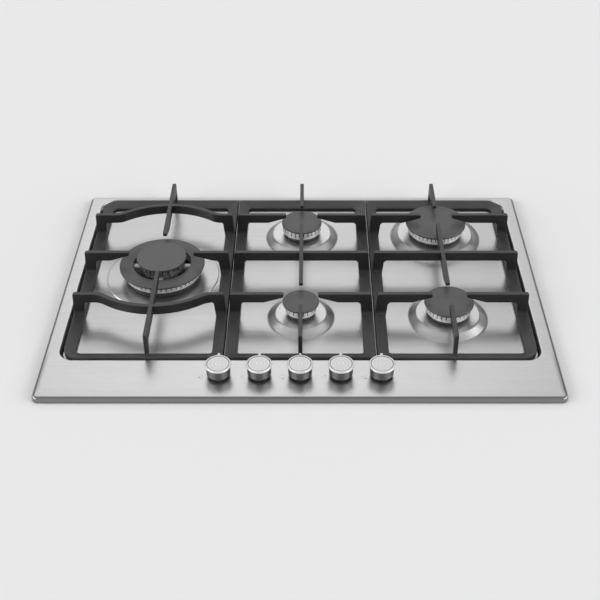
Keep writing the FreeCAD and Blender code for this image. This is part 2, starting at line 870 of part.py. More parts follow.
def wok_crown():
    """An outer ring trough, a centre burner, and four bridges between them."""
    x, y = burner_place("wok")
    seat = seat_level("wok")
    lip = seat + lip_height
    inner = wok_neck_radius - neck_wall - casting_gap
    throat = 9.0
    base = wok_ring_floor
    centre = revolve([(throat, seat - 6), (throat + 2, seat - 6), (throat + 2, lip - 2), (inner, lip - 2),
                      (inner, lip), (wok_centre_radius - 2, lip), (wok_centre_radius, lip + 2),
                      (wok_centre_radius, wok_centre_top), (wok_centre_radius - crown_wall, wok_centre_top),
                      (wok_centre_radius - crown_wall, base + 3), (throat + 2, base + 3),
                      (throat + 2, base + 10), (throat, base + 10)], x, y)
    outer_r, inner_r, top = wok_ring_outer, wok_ring_inner, wok_ring_top
    trough = revolve([(inner_r, base), (outer_r - skirt_wall - 1, base),
                      (outer_r - skirt_wall - 1, seat + floor_gap), (outer_r - 1, seat + floor_gap),
                      (outer_r, base), (outer_r, top), (outer_r - crown_wall, top),
                      (outer_r - crown_wall, base + 3), (inner_r + 2.5, base + 3),
                      (inner_r + 2.5, top), (inner_r, top)], x, y)
    crown = centre.fuse(trough)
    bridges = []
    ducts = []
    for quarter in range(4):
        bridge = box(wok_centre_radius - 2, inner_r + 1, -wok_bridge_width / 2, wok_bridge_width / 2,
                     base, wok_bridge_top)
        duct = box(wok_centre_radius - 5, inner_r + 4, -2.5, 2.5, base + 4, wok_bridge_top - 3)
        for piece in (bridge, duct):
            piece.rotate(vec(0, 0, 0), up, 90.0 * quarter)
            piece.translate(vec(x, y, 0))
        bridges.append(bridge)
        ducts.append(duct)
    crown = crown.multiFuse(bridges).removeSplitter()
    slots = port_cutters(x, y, outer_r, crown_wall, top, 48)
    slots += port_cutters(x, y, wok_centre_radius, crown_wall, wok_centre_top, 24)
    crown = cut(crown, ducts + slots)
    core = rod(wok_centre_radius, x, y, seat - 7, wok_centre_top + 1)
    inside = rod(inner_r, x, y, seat - 7, wok_centre_top + 1)
    pieces = crown.common(core).Solids + crown.common(inside.cut(core)).Solids
    pieces += in_sectors(crown.cut(inside), x, y, outer_r + 1, wok_ring_parts)
    save("crown_wok", Part.makeCompound(pieces))


def wok_caps():
    x, y = burner_place("wok")
    low, top = wok_ring_top, wok_ring_top + cap_thickness
    a, b = wok_cap_inner, wok_cap_outer
    keep_out = wok_ring_outer - crown_wall - casting_gap
    keep_in = wok_ring_inner + 2.5 + casting_gap
    ring_cap = revolve([(a, low), (keep_in, low), (keep_in, low - cap_spigot), (keep_out, low - cap_spigot),
                        (keep_out, low), (b - 0.6, low), (b, low + 0.6), (b, top - 0.8), (b - 0.8, top),
                        (a + 0.8, top), (a, top - 0.8)], x, y)
    save("cap_wok_ring", ring_cap)
    low, top = wok_centre_top, wok_centre_top + cap_thickness
    r = wok_centre_cap
    spigot = wok_centre_radius - crown_wall - casting_gap
    centre_cap = revolve([(0, low), (spigot - 3, low), (spigot - 3, low - cap_spigot),
                          (spigot, low - cap_spigot), (spigot, low), (r - 0.6, low), (r, low + 0.6),
                          (r, top - 0.8), (r - 0.8, top), (0, top)], x, y)
    save("cap_wok_centre", centre_cap)


# ---- pan supports ----
support_front = well_front + support_clearance_end
support_back = well_back - support_clearance_end
support_spans = {
    "left": (well_left + support_clearance_side, -middle_support_width / 2 - support_gap),
    "middle": (-middle_support_width / 2, middle_support_width / 2),
    "right": (middle_support_width / 2 + support_gap, well_right - support_clearance_side),
}
support_corners = {
    "left": [frame_corner, frame_joint_corner, frame_joint_corner, frame_corner],
    "middle": [frame_joint_corner] * 4,
    "right": [frame_joint_corner, frame_corner, frame_corner, frame_joint_corner],
}


def support_frame(side):
    """The cast bar round the edge, whose top slopes in towards the burners."""
    x0, x1 = support_spans[side]
    y0, y1 = support_front, support_back
    radii = support_corners[side]
    inside = [max(frame_inside_corner, r - frame_bar) for r in radii]
    bar = frame_bar
    solid = slab(x0, x1, y0, y1, frame_bottom, frame_outer_top, radii)
    front = y0 + frame_front_bar
    window = slab(x0 + bar, x1 - bar, front, y1 - bar, frame_bottom - 1, frame_outer_top + 1, inside)
    low = rectangle(x0 + bar, x1 - bar, front, y1 - bar, frame_inner_top, inside)
    high = rectangle(x0, x1, y0, y1, frame_outer_top, radii)
    return solid.cut(Part.makeLoft([low, high], True, True)).cut(window)


def finger_outline(reach, post, tip=True):
    """Half of a crossbar, seen from its side: (distance in from the frame's edge, height, radius)."""
    foot = frame_bottom + post_overlap
    head = support_top
    outline = [(post_inset, foot, 0), (post_inset + post_draft, head, post_round)]
    if tip:
        outline += [(reach, head, tip_round), (reach, head - tip_depth, tip_round),
                    (reach - tip_taper, finger_bottom, taper_round)]
    else:
        outline += [(reach, head, 0), (reach, finger_bottom, 0)]
    outline += [(post_inset + post_draft + post, finger_bottom, knee_radius), (post_inset + post, foot, 0)]
    return outline


def post_depth(post):
    """How far in from the frame's edge a post ends, past the knee under its finger."""
    return post_inset + post_draft + post + knee_radius


def side_finger(edge_x, inward, row_y, reach, tip=True):
    """A finger that starts at a side bar and runs along X, as a post and a bar."""
    def place(p):
        return vec(edge_x + inward * p.x, row_y - finger_width / 2, p.y)
    face = Part.Face(rounded_outline(finger_outline(reach, side_post_width, tip), place))
    finger = face.extrude(vec(0, finger_width, 0))
    return divided(finger, [edge_x + inward * post_depth(side_post_width)], [])


def end_finger(edge_y, inward, column_x, reach):
    """A finger that starts at the front or back bar and runs along Y, as a post and a bar."""
    def place(p):
        return vec(column_x - finger_width / 2, edge_y + inward * p.x, p.y)
    face = Part.Face(rounded_outline(finger_outline(reach, end_post_width), place))
    finger = face.extrude(vec(finger_width, 0, 0))
    return divided(finger, [], [edge_y + inward * post_depth(end_post_width)])


def spine(column_x, front_y, back_y):
    """The finger between two burners, with a tip at each end."""
    tip_bottom = support_top - tip_depth
    outline = [(front_y, support_top, tip_round), (back_y, support_top, tip_round),
               (back_y, tip_bottom, tip_round), (back_y - tip_taper, finger_bottom, taper_round),
               (front_y + tip_taper, finger_bottom, taper_round), (front_y, tip_bottom, tip_round)]
    face = Part.Face(rounded_outline(outline, lambda p: vec(column_x - finger_width / 2, p.x, p.y)))
    return face.extrude(vec(finger_width, 0, 0))


def bowed_bar(x0, x1, row_y, outward):
    """A crossbar that bows outward round the wok burner."""
    half = finger_width / 2
    centre_y = row_y - outward * math.sqrt(wok_arc_radius ** 2 - wok_arc_half_chord ** 2)

    def side(offset):
        radius = wok_arc_radius + offset
        line_y = row_y + outward * offset
        half_chord = math.sqrt(radius ** 2 - (line_y - centre_y) ** 2)
        a, b = vec(x0, line_y), vec(wok_x - half_chord, line_y)
        c, d = vec(wok_x + half_chord, line_y), vec(x1, line_y)
        top = vec(wok_x, centre_y + outward * radius)
        return a, b, top, c, d

    a, b, top, c, d = side(half)
    e, f, low, g, h = side(-half)
    curves = [Part.LineSegment(a, b), Part.Arc(b, top, c), Part.LineSegment(c, d), Part.LineSegment(d, h),
              Part.LineSegment(h, g), Part.Arc(g, low, f), Part.LineSegment(f, e), Part.LineSegment(e, a)]
    bar = Part.Face(Part.Wire([curve.toShape() for curve in curves])).extrude(vec(0, 0, finger_depth))
    bends = [edge for edge in bar.Edges
             if len(edge.Vertexes) == 2 and abs(edge.Length - finger_depth) < 1e-6
             and abs(edge.Vertexes[0].X - edge.Vertexes[1].X) < 1e-6
             and x0 + 1 < edge.Vertexes[0].X < x1 - 1]
    bar = bar.makeFillet(wok_bend_radius, bends)
    bar.translate(vec(0, 0, finger_bottom))
    part = 2 * wok_arc_half_chord / wok_bar_parts
    cuts = [wok_x - wok_arc_half_chord + part * i for i in range(wok_bar_parts + 1)]
    return divided(bar, cuts, [])


def save_support(side, fingers):
    """The frame's straight bars and corners, and the fingers with their posts cut to sit on it."""
    frame = support_frame(side)
    x0, x1 = support_spans[side]
    corner = frame_bar + frame_inside_corner
    pieces = divided(frame, [x0 + corner, x1 - corner], [support_front + corner, support_back - corner])
    for finger in fingers:
        pieces += finger.cut(frame).Solids
    save("pan_support_" + side, Part.makeCompound(pieces))


def straight_support(side, column_x):
    """A support over two burners, one behind the other."""
    x0, x1 = support_spans[side]
    parts = []
    for row_y in (rear_row_y, front_row_y):
        parts += side_finger(x0, 1, row_y, column_x - tip_radius - x0)
        parts += side_finger(x1, -1, row_y, x1 - column_x - tip_radius)
    half = finger_width / 2
    parts += side_finger(x0, 1, middle_row_y, column_x - half - x0, False)
    parts += side_finger(x1, -1, middle_row_y, x1 - column_x - half, False)
    parts.append(spine(column_x, front_row_y + tip_radius, rear_row_y - tip_radius))
    parts += end_finger(support_back, -1, column_x, support_back - rear_row_y - tip_radius)
    parts += end_finger(support_front, 1, column_x, front_row_y - tip_radius - support_front)
    save_support(side, parts)


def wok_support():
    """The left support, with two bowed crossbars and four fingers round the wok burner."""
    x0, x1 = support_spans["left"]
    parts = []
    stub = post_depth(side_post_width)
    for row_y, outward in ((rear_row_y, 1), (front_row_y, -1)):
        parts += side_finger(x0, 1, row_y, stub, False)
        parts += side_finger(x1, -1, row_y, stub, False)
        parts += bowed_bar(x0 + stub, x1 - stub, row_y, outward)
    crossbars = Part.makeCompound(parts)
    crossing = end_finger(support_back, -1, wok_x, support_back - middle_row_y - wok_tip_radius)
    crossing += end_finger(support_front, 1, wok_x, middle_row_y - wok_tip_radius - support_front)
    for finger in crossing:
        parts += finger.cut(crossbars).Solids
    parts += side_finger(x0, 1, middle_row_y, wok_x - wok_tip_radius - x0)
    parts += side_finger(x1, -1, middle_row_y, x1 - wok_x - wok_tip_radius)
    save_support("left", parts)


def support_feet(side):
    """A rubber pad under each corner of a support."""
    x0, x1 = support_spans[side]
    inset = frame_bar / 2
    pieces = []
    for x in (x0 + inset, x1 - inset):
        for y in (support_front + inset + foot_from_end, support_back - inset - foot_from_end):
            pieces.append(rod(foot_radius, x, y, well_floor, frame_bottom))
    save("support_feet_" + side, Part.makeCompound(pieces))


# ---- knobs, taps and pipework ----
def knob(index, name):
    """A spun metal knob with a rounded lip, a small pointer at its back and a hub for the spindle."""
    x = tap_x(index)
    base, top, r = knob_base, knob_top, knob_top_radius
    lip = top - knob_lip
    hub_top = top - knob_face
    shell = revolve([(0, hub_top), (knob_base_radius - knob_wall, hub_top),
                     (knob_base_radius - knob_wall, base), (knob_base_radius - 0.6, base),
                     (knob_base_radius, base + 0.6), (r - 1.4, lip - 0.4), (r - 0.4, lip + 0.2),
                     (r, lip + 1.0), (r, top - 1.0), (r - 0.3, top - 0.3), (r - 1.0, top),
                     (r - 2.6, top), (r - 3.0, top - knob_dish), (0, top - knob_dish)], x, knob_row_y)
    hub = rod(hub_radius, x, knob_row_y, base + 1, hub_top + 1)
    back = knob_row_y + r
    half = knob_tab_width / 2
    low = top - knob_dish - knob_tab_height
    corners = [vec(x - half, back - 1.2, low), vec(x + half, back - 1.2, low),
               vec(x + half / 2, back + knob_tab_reach, low), vec(x - half / 2, back + knob_tab_reach, low)]
    tab = Part.Face(Part.makePolygon(corners + corners[:1])).extrude(vec(0, 0, knob_tab_height))
    bore = d_shaft(spindle_radius + hub_gap, spindle_flat, x, knob_row_y, base, hub_top - 1)
    save("knob_" + name, fuse([shell, hub, tab]).cut(bore))


def tap_spindle(index, name):
    """The shaft that turns the plug and slides in it when the knob is pressed."""
    x = tap_x(index)
    hub_end = knob_top - knob_face - 1.5
    low = plug_top + push_travel + running_gap
    shaft = d_shaft(spindle_radius, spindle_flat, x, knob_row_y, collar_top, hub_end)
    lower = rod(spindle_radius, x, knob_row_y, low, collar_top)
    collar = rod(collar_radius, x, knob_row_y, collar_bottom, collar_top)
    pin = rod(drive_pin_radius, x, knob_row_y, plug_top - 6, low)
    save("tap_spindle_" + name, fuse([shaft, lower, collar, pin]))


def tap_plug(index, name):
    """The turning plug that opens the gas way, with the slot that the spindle drives."""
    x = tap_x(index)
    bottom = plug_top - plug_length
    body = rod(plug_radius, x, knob_row_y, bottom, plug_top)
    socket = rod(drive_pin_radius + 0.3, x, knob_row_y, plug_top - 6 - push_travel - running_gap, plug_top)
    way_level = gas_level - 6
    side_way = Part.makeCylinder(gas_way, plug_radius + 1, vec(x, knob_row_y, way_level), along_x)
    feed = rod(gas_way, x, knob_row_y, bottom, way_level + 1)
    save("tap_plug_" + name, body.cut(socket).cut(side_way).cut(feed))


def tap_bodies():
    pieces = []
    half = tap_size / 2
    for index in range(len(tap_order)):
        x, y = tap_x(index), knob_row_y
        block = slab(x - half, x + half, y - half, y + half, tap_bottom, tap_top, 3.0)
        boss = Part.makeCylinder(outlet_radius - 1, half + outlet_length, vec(x, y, gas_level), along_y)
        chamber = rod(plug_radius + plug_fit, x, y, tap_bottom + tap_floor, tap_top)
        spring_room = rod(plug_radius + 1.2, x, y, plug_top + 1, tap_top)
        feed = rod(feed_way, x, y, tap_bottom, tap_bottom + tap_floor)
        outlet = Part.makeCylinder(tube_bore, half + outlet_length, vec(x, y, gas_level), along_y)
        pieces.append(fuse([block, boss]).cut(chamber).cut(spring_room).cut(feed).cut(outlet))
    save("tap_bodies", Part.makeCompound(pieces))


def tap_bracket():
    """The strip that the taps hang from, on a leg at each end that stands in the tray."""
    end = tap_x(len(tap_order) - 1) + tap_bracket_overhang
    t = tap_bracket_sheet
    y0, y1 = knob_row_y - tap_bracket_half_depth, knob_row_y + tap_bracket_half_depth
    strip = box(-end, end, y0, y1, tap_top, tap_top + t)
    parts = [strip]
    for side in (-1, 1):
        a, b = sorted((side * end, side * (end - t)))
        parts.append(box(a, b, y0, y1, box_inside, tap_top + t))
        a, b = sorted((side * end, side * (end + tap_bracket_foot)))
        parts.append(box(a, b, y0, y1, box_inside, box_inside + t))
    holes = [rod(spindle_radius + 1.5, tap_x(index), knob_row_y, tap_top - 1, tap_top + t + 1)
             for index in range(len(tap_order))]
    pipe_start = vec(end - 3, knob_row_y, manifold_level)
    holes.append(Part.makeCylinder(manifold_radius + 0.5, 6, pipe_start, along_x))
    save("tap_bracket", cut(fuse(parts), holes))


def ignition_switches():
    """A small switch beside each spindle, which its collar presses to spark all the burners."""
    pieces = []
    top = collar_bottom - push_travel - running_gap
    half_w, half_d = switch_width / 2, switch_depth / 2
    low = tap_top + tap_bracket_sheet
    for index in range(len(tap_order)):
        x, y = tap_x(index) + switch_offset, knob_row_y
        case = box(x - half_w, x + half_w, y - half_d, y + half_d, low, top - 1.0)
        button = rod(switch_button, x - 2.0, y, top - 1.0, top)
        pieces.append(fuse([case, button]))
    save("ignition_switches", Part.makeCompound(pieces))


def manifold_points():
    x, y = manifold_side_x, knob_row_y
    return [(tap_x(0) - manifold_overhang, y, manifold_level), (x - manifold_corner, y, manifold_level),
            (x, y + manifold_corner, manifold_level), (x, recess_front - manifold_rise_start, manifold_level),
            (x, recess_front - manifold_rise_end, inlet_level),
            (x, recess_front + manifold_reach, inlet_level)]


def gas_manifold():
    """The pipe that brings gas from the inlet to every tap, with a flat pad under each."""
    points = manifold_points()
    outside, bore = pipe(points, manifold_radius, manifold_bore)
    end_plug = Part.makeCylinder(manifold_radius, manifold_plug, vec(*points[0]), along_x)
    half = manifold_pad / 2
    pads = []
    ways = []
    for index in range(len(tap_order)):
        x = tap_x(index)
        pads.append(box(x - half, x + half, knob_row_y - half, knob_row_y + half, manifold_level, tap_bottom))
        ways.append(rod(feed_way, x, knob_row_y, manifold_level, tap_bottom + 1))
    whole = cut(outside.multiFuse(pads).cut(bore), ways)
    save("gas_manifold", whole.fuse(end_plug).removeSplitter())


def inlet_elbow():
    """The elbow outside the tray that takes the house's gas pipe on a half-inch thread."""
    x = manifold_side_x
    y = recess_front + manifold_reach + inlet_block / 2
    half = inlet_block / 2
    top = inlet_level + half
    low = inlet_level - half
    block = slab(x - half, x + half, y - half, y + half, low, top, 3.0)
    stub = rod(inlet_thread_radius, x, y, low - inlet_thread_length, low)
    stub_way = rod(7.0, x, y, low - inlet_thread_length, inlet_level)
    side_way = Part.makeCylinder(manifold_bore, half + 1, vec(x, y - half, inlet_level), along_y)
    save("inlet_elbow", fuse([block, stub]).cut(stub_way).cut(side_way))


def tube_points(index, name):
    """A supply tube's route, from the tap's outlet to the burner cup's inlet, all at one level."""
    bx, by = burner_place(name)
    tx = tap_x(index)
    y0 = knob_row_y + tap_size / 2 + outlet_length
    y1 = by - neck_radius(name) - outlet_length
    if abs(bx - tx) < 1:
        flat = [(tx, y0), (bx, y1)]
    else:
        length = y1 - y0
        swing = tube_swings[name]
        flat = [(tx, y0), (tx, y0 + length * swing[0]), (bx, y0 + length * swing[1]), (bx, y1)]
    return [(x, y, gas_level) for x, y in flat]


def supply_tube(index, name):
    outside, bore = pipe(tube_points(index, name), tube_radius, tube_bore)
    save("supply_tube_" + name, outside.cut(bore))


def tube_nuts():
    pieces = []
    for index, name in enumerate(tap_order):
        points = tube_points(index, name)
        for end, heading in ((points[0], along_y), (points[-1], along_y * -1)):
            start = vec(*end) + heading * nut_gap
            nut = hexagon(nut_across_flats, start, heading, nut_length)
            hole = Part.makeCylinder(tube_radius + 0.15, nut_length + 2, start - heading, heading)
            pieces.append(nut.cut(hole))
    save("tube_nuts", Part.makeCompound(pieces))


def cable_gland():
    """The gland that the mains lead passes through, in the side of the recess, with its nut inside."""
    face = vec(recess_left, gland_y, gland_level)
    dome_radius = gland_thread_radius + 2
    thread_end = face - along_x * (box_sheet + gland_nut_length + 2.2)
    thread = Part.makeCylinder(gland_thread_radius, (face - thread_end).Length, thread_end, along_x)
    dome = Part.makeCylinder(dome_radius, gland_dome_length, face, along_x)
    tip = Part.makeCone(dome_radius, gland_bore_radius + 2.75, gland_tip_length,
                        face + along_x * gland_dome_length, along_x)
    nut = hexagon(gland_nut_flats, face - along_x * (box_sheet + gland_nut_length), along_x, gland_nut_length)
    bore = Part.makeCylinder(gland_bore_radius, 30, thread_end - along_x, along_x)
    save("cable_gland", fuse([thread, dome, tip, nut]).cut(bore))


def spark_generator():
    """The ignition transformer, a moulded block with a terminal for each igniter's lead."""
    x0, y0 = generator_left, recess_front - generator_from_recess
    x1, y1 = x0 + generator_length, y0 + generator_width
    top = box_inside + generator_height
    middle = (y0 + y1) / 2
    case = slab(x0, x1, y0, y1, box_inside, top, 2.5)
    ears = slab(x0 - generator_ear, x1 + generator_ear, middle - 7, middle + 7, box_inside,
                box_inside + 3, 3.0)
    pitch = (generator_length - 18) / (len(tap_order) - 1)
    posts = [rod(2.2, x0 + 9 + pitch * index, y0 + 8, top - 1, top + terminal_height)
             for index in range(len(tap_order))]
    tabs = []
    for x in (x0 + 18, x0 + 32):
        tabs.append(box(x, x + 6, y1 - 10, y1 - 9.2, top - 1, top + terminal_height))
    save("spark_generator", fuse([case, ears] + posts + tabs))


def main():
    os.makedirs("parts", exist_ok=True)
    hob_top()
    rim_seal()
    base_box()
    side_brackets()
    box_screws()
    burner_screws()
    injectors()
    spark_plugs()
    thermocouples()
    wok_crown()
    wok_caps()
    wok_support()
    straight_support("middle", centre_x)
    straight_support("right", right_x)
    for side in support_spans:
        support_feet(side)
    for burner in burners:
        burner_crown(burner["name"])
        burner_cap(burner["name"])
    for index, name in enumerate(tap_order):
        burner_body(name)
        knob(index, name)
        tap_spindle(index, name)
        tap_plug(index, name)
        supply_tube(index, name)
    tap_bodies()
    tap_bracket()
    ignition_switches()
    gas_manifold()
    inlet_elbow()
    tube_nuts()
    cable_gland()
    spark_generator()


main()
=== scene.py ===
import bpy
import bmesh
import json
import math
from mathutils import Matrix, Vector


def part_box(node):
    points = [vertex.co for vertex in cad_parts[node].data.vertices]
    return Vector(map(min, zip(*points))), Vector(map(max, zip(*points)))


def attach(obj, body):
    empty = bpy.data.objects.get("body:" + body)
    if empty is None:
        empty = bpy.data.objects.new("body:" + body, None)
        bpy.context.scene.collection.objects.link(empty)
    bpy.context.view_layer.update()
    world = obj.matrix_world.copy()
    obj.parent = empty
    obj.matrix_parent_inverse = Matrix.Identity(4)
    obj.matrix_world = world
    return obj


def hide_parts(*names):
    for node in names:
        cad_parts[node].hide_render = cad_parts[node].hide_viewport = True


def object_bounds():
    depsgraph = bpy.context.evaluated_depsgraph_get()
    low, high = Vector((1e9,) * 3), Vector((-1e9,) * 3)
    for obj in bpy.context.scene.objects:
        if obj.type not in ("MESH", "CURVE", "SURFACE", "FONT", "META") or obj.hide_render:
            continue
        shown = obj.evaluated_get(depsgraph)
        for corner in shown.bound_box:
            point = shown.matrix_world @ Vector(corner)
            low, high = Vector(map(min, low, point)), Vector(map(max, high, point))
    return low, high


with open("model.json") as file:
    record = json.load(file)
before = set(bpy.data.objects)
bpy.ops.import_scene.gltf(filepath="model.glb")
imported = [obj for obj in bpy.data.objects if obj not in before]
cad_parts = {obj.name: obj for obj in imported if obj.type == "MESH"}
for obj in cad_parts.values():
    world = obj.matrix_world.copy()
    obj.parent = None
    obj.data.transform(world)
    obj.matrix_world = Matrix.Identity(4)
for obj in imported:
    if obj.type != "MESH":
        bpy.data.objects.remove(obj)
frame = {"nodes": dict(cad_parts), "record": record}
cadLow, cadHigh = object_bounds()
print("frame loaded,", len(frame["nodes"]), "nodes")

mm = 0.001
scene = bpy.context.scene
burnerNames = ["rear_centre", "front_centre", "rear_right", "front_right"]
tapNames = ["wok"] + burnerNames


def centreOf(node):
    low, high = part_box(node)
    return (low + high) / 2


def radiusOf(node):
    low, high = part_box(node)
    return (high.x - low.x) / 2


# shader maths: a Wire is one output socket, and sums on it, from either side, add Math nodes
class Wire:
    def __init__(self, graph, socket):
        self.graph = graph
        self.socket = socket

    def math(self, operation, first, second):
        return self.graph.node("ShaderNodeMath", {"operation": operation}, {0: first, 1: second})


operators = {"add": "ADD", "sub": "SUBTRACT", "mul": "MULTIPLY", "truediv": "DIVIDE", "pow": "POWER"}
for name, operation in operators.items():
    setattr(Wire, f"__{name}__", lambda wire, other, kind=operation: wire.math(kind, wire, other))
    setattr(Wire, f"__r{name}__", lambda wire, other, kind=operation: wire.math(kind, other, wire))


class Graph:
    def __init__(self, tree):
        self.tree = tree
        self.tree.nodes.clear()

    # any node: its settings come first, then the values or wires of its inputs
    def node(self, kind, settings=None, inputs=None, output=0):
        made = self.tree.nodes.new(kind)
        for key, value in (settings or {}).items():
            setattr(made, key, value)
        for key, value in (inputs or {}).items():
            if isinstance(value, Wire):
                self.tree.links.new(value.socket, made.inputs[key])
            else:
                made.inputs[key].default_value = value
        return Wire(self, made.outputs[output] if len(made.outputs) else None)

    def place(self, centre=(0, 0, 0), stretch=(1, 1, 1)):
        where = self.node("ShaderNodeTexCoord", output="Object")
        shift = [-c * s for c, s in zip(centre, stretch)]
        return self.node("ShaderNodeMapping", {}, {"Vector": where, "Location": shift, "Scale": stretch})

    def axes(self, place):
        x = self.node("ShaderNodeSeparateXYZ", {}, {"Vector": place})
        return x, Wire(self, x.socket.node.outputs["Y"]), Wire(self, x.socket.node.outputs["Z"])

    def absolute(self, value):
        return self.node("ShaderNodeMath", {"operation": "ABSOLUTE"}, {0: value})

    def larger(self, first, second):
        return first.math("MAXIMUM", first, second)

    def noise(self, place, scale, detail=2.0, roughness=0.5):
        return self.node("ShaderNodeTexNoise", {},
                         {"Vector": place, "Scale": scale, "Detail": detail, "Roughness": roughness})

    # takes low to high over to toLow to toHigh, and holds it there outside them
    def limit(self, value, low, high, toLow=0.0, toHigh=1.0, kind="LINEAR"):
        return self.node("ShaderNodeMapRange", {"interpolation_type": kind}, {
            "Value": value, "From Min": low, "From Max": high, "To Min": toLow, "To Max": toHigh})

    def smooth(self, value, low, high, toLow=0.0, toHigh=1.0):
        return self.limit(value, low, high, toLow, toHigh, "SMOOTHSTEP")

    def mix(self, share, first, second):
        return self.node("ShaderNodeMix", {"data_type": "RGBA"}, {0: share, 6: first, 7: second}, 2)

    def bump(self, height, strength, distance, normal=None):
        inputs = {"Height": height, "Strength": strength, "Distance": distance}
        if normal is not None:
            inputs["Normal"] = normal
        return self.node("ShaderNodeBump", {}, inputs)


def grey(level, warm=0.0):
    return (level * (1 + warm), level, level * (1 - warm), 1.0)


finishes = {}


def newMaterial(name, paint, look, shaderKind="ShaderNodeBsdfPrincipled"):
    material = bpy.data.materials.new(name)
    material.use_nodes = True
    graph = Graph(material.node_tree)
    shader = graph.node(shaderKind, {}, paint(graph, look))
    graph.node("ShaderNodeOutputMaterial", {}, {"Surface": shader})
    finishes[name] = material
    return material


# sheet steel, brushed along X: fine grooves spread what it mirrors along Y
# painted shade: the drawn well is a little darker than the border, and the turned-down rim darker still
def brushedSteel(g, look):
    grain = g.noise(g.place(stretch=look["grain"]), 1.0, 2.0, 0.6)
    streak = g.noise(g.place(stretch=look["streak"]), 1.0, 4.0, 0.6)
    cloud = g.noise(g.place(), look["cloudScale"], 3.0)
    x, y, z = g.axes(g.place())
    # painted shade: the well darkened below the border's height
    well = g.smooth(z, *look["wellBand"], look["wellShade"], 1.0)
    # painted shade: the turned-down rim darkened past the border's outline
    past = g.larger(g.absolute(x) - look["rimX"], g.absolute(y) - look["rimY"])
    rim = g.smooth(past, *look["rimBand"], 1.0, look["rimShade"])
    tone = (look["dark"] + g.limit(streak, 0.3, 0.7) * (look["light"] - look["dark"])) * well * rim
    rough = look["roughness"] + (streak - 0.5) * look["roughStreak"] + (cloud - 0.5) * look["roughCloud"]
    waves = g.bump(cloud, look["waveStrength"], look["waveDepth"])
    return {"Base Color": tone, "Metallic": 1.0, "Roughness": rough,
            "Normal": g.bump(grain, look["grainStrength"], look["grainDepth"], waves)}


# enamel on iron: matte, with a fine pebbled skin, patches and slightly worn, paler flecks
# the flank tone is painted shade: the sides of the bars, between two heights, are darker than the frame and
# the bars' tops
def enamel(g, look):
    pebble = g.noise(g.place(), look["pebbleScale"], 2.0)
    patch = g.noise(g.place(), look["patchScale"], 4.0)
    fleck = g.limit(g.noise(g.place(), look["fleckScale"], 0.0), 0.62, 0.72)
    tone = g.mix(g.limit(patch, 0.3, 0.7), grey(look["dark"]), grey(look["light"]))
    tone = g.mix(fleck * look["fleckShare"], tone, grey(look["fleck"]))
    if "flank" in look:
        # painted shade: the sides of the bars, between two heights, take the darker flank tone
        height = g.axes(g.place())[2]
        side = g.smooth(height, *look["flankFoot"]) * g.smooth(height, *look["flankTop"], 1.0, 0.0)
        tone = g.mix(side, tone, grey(look["flank"]))
    return {"Base Color": tone, "Metallic": 0.0, "Roughness": look["roughness"] + (patch - 0.5) * 0.15,
            "Specular IOR Level": look["gloss"],
            "Normal": g.bump(pebble, look["pebbleStrength"], look["pebbleDepth"])}


# cast, drawn or plated metal: a grained skin, stained in patches
def castMetal(g, look):
    skin = g.noise(g.place(), look["skinScale"], 3.0)
    stain = g.noise(g.place(), look["patchScale"], 4.0, 0.6)
    return {"Base Color": g.mix(g.limit(stain, 0.35, 0.65), look["dark"], look["light"]),
            "Metallic": look["metallic"], "Roughness": look["roughness"] + (stain - 0.5) * 0.2,
            "Normal": g.bump(skin, look["skinStrength"], look["skinDepth"])}


# moulded plastic, rubber and glazed ceramic: a fine skin over one colour that varies a little
def moulded(g, look):
    skin = g.noise(g.place(), look["skinScale"], 2.0)
    patch = g.noise(g.place(), look["patchScale"], 3.0)
    return {"Base Color": g.mix(g.limit(patch, 0.3, 0.7), look["dark"], look["light"]),
            "Metallic": look["metallic"], "Roughness": look["roughness"] + (patch - 0.5) * 0.12,
            "Normal": g.bump(skin, look["skinStrength"], look["skinDepth"])}


# turned metal: rings round the piece's own upright axis
def turnedMetal(g, look):
    x, y = g.axes(g.place(centre=look["centre"]))[:2]
    distance = g.node("ShaderNodeCombineXYZ", {}, {"X": (x * x + y * y) ** 0.5})
    rings = g.noise(distance, look["ringScale"], 3.0, 0.6)
    broad = g.noise(distance, look["broadScale"], 2.0)
    return {"Base Color": g.mix(g.limit(broad, 0.3, 0.7), grey(look["dark"]), grey(look["light"])),
            "Metallic": 1.0, "Roughness": look["roughness"] + (broad - 0.5) * 0.1,
            "Normal": g.bump(rings, look["ringStrength"], look["ringDepth"])}


newMaterial("plateSteel", brushedSteel, {
    "grain": (12, 1100, 1100), "streak": (2.5, 150, 150), "cloudScale": 7.0,
    "dark": 0.66, "light": 0.70, "roughness": 0.30, "roughStreak": 0.06, "roughCloud": 0.04,
    "waveStrength": 0.2, "waveDepth": 0.0006, "grainStrength": 0.8, "grainDepth": 0.00018,
    # the well's and the rim's tones here are painted shade
    "wellShade": 0.88, "wellBand": (0.0045, 0.0100), "rimShade": 0.42, "rimBand": (-0.0004, 0.0012),
    "rimX": 0.3705, "rimY": 0.2555,
})
newMaterial("grateEnamel", enamel, {
    "pebbleScale": 1300.0, "patchScale": 22.0, "fleckScale": 1900.0, "dark": 0.038, "light": 0.052,
    "fleck": 0.14, "fleckShare": 0.35, "roughness": 0.45, "gloss": 0.5,
    # the flank tone and its two heights: painted shade on the sides of the bars
    "flank": 0.009, "flankFoot": (0.012, 0.020), "flankTop": (0.0485, 0.0496),
    "pebbleStrength": 0.35, "pebbleDepth": 0.00025,
})
newMaterial("capEnamel", enamel, {
    "pebbleScale": 1700.0, "patchScale": 30.0, "fleckScale": 2600.0, "dark": 0.082, "light": 0.096,
    "fleck": 0.14, "fleckShare": 0.25, "roughness": 0.42, "gloss": 0.5,
    "pebbleStrength": 0.25, "pebbleDepth": 0.00015,
})
lookNames = ("dark", "light", "skinScale", "patchScale", "metallic", "roughness", "skinStrength",
             "skinDepth")
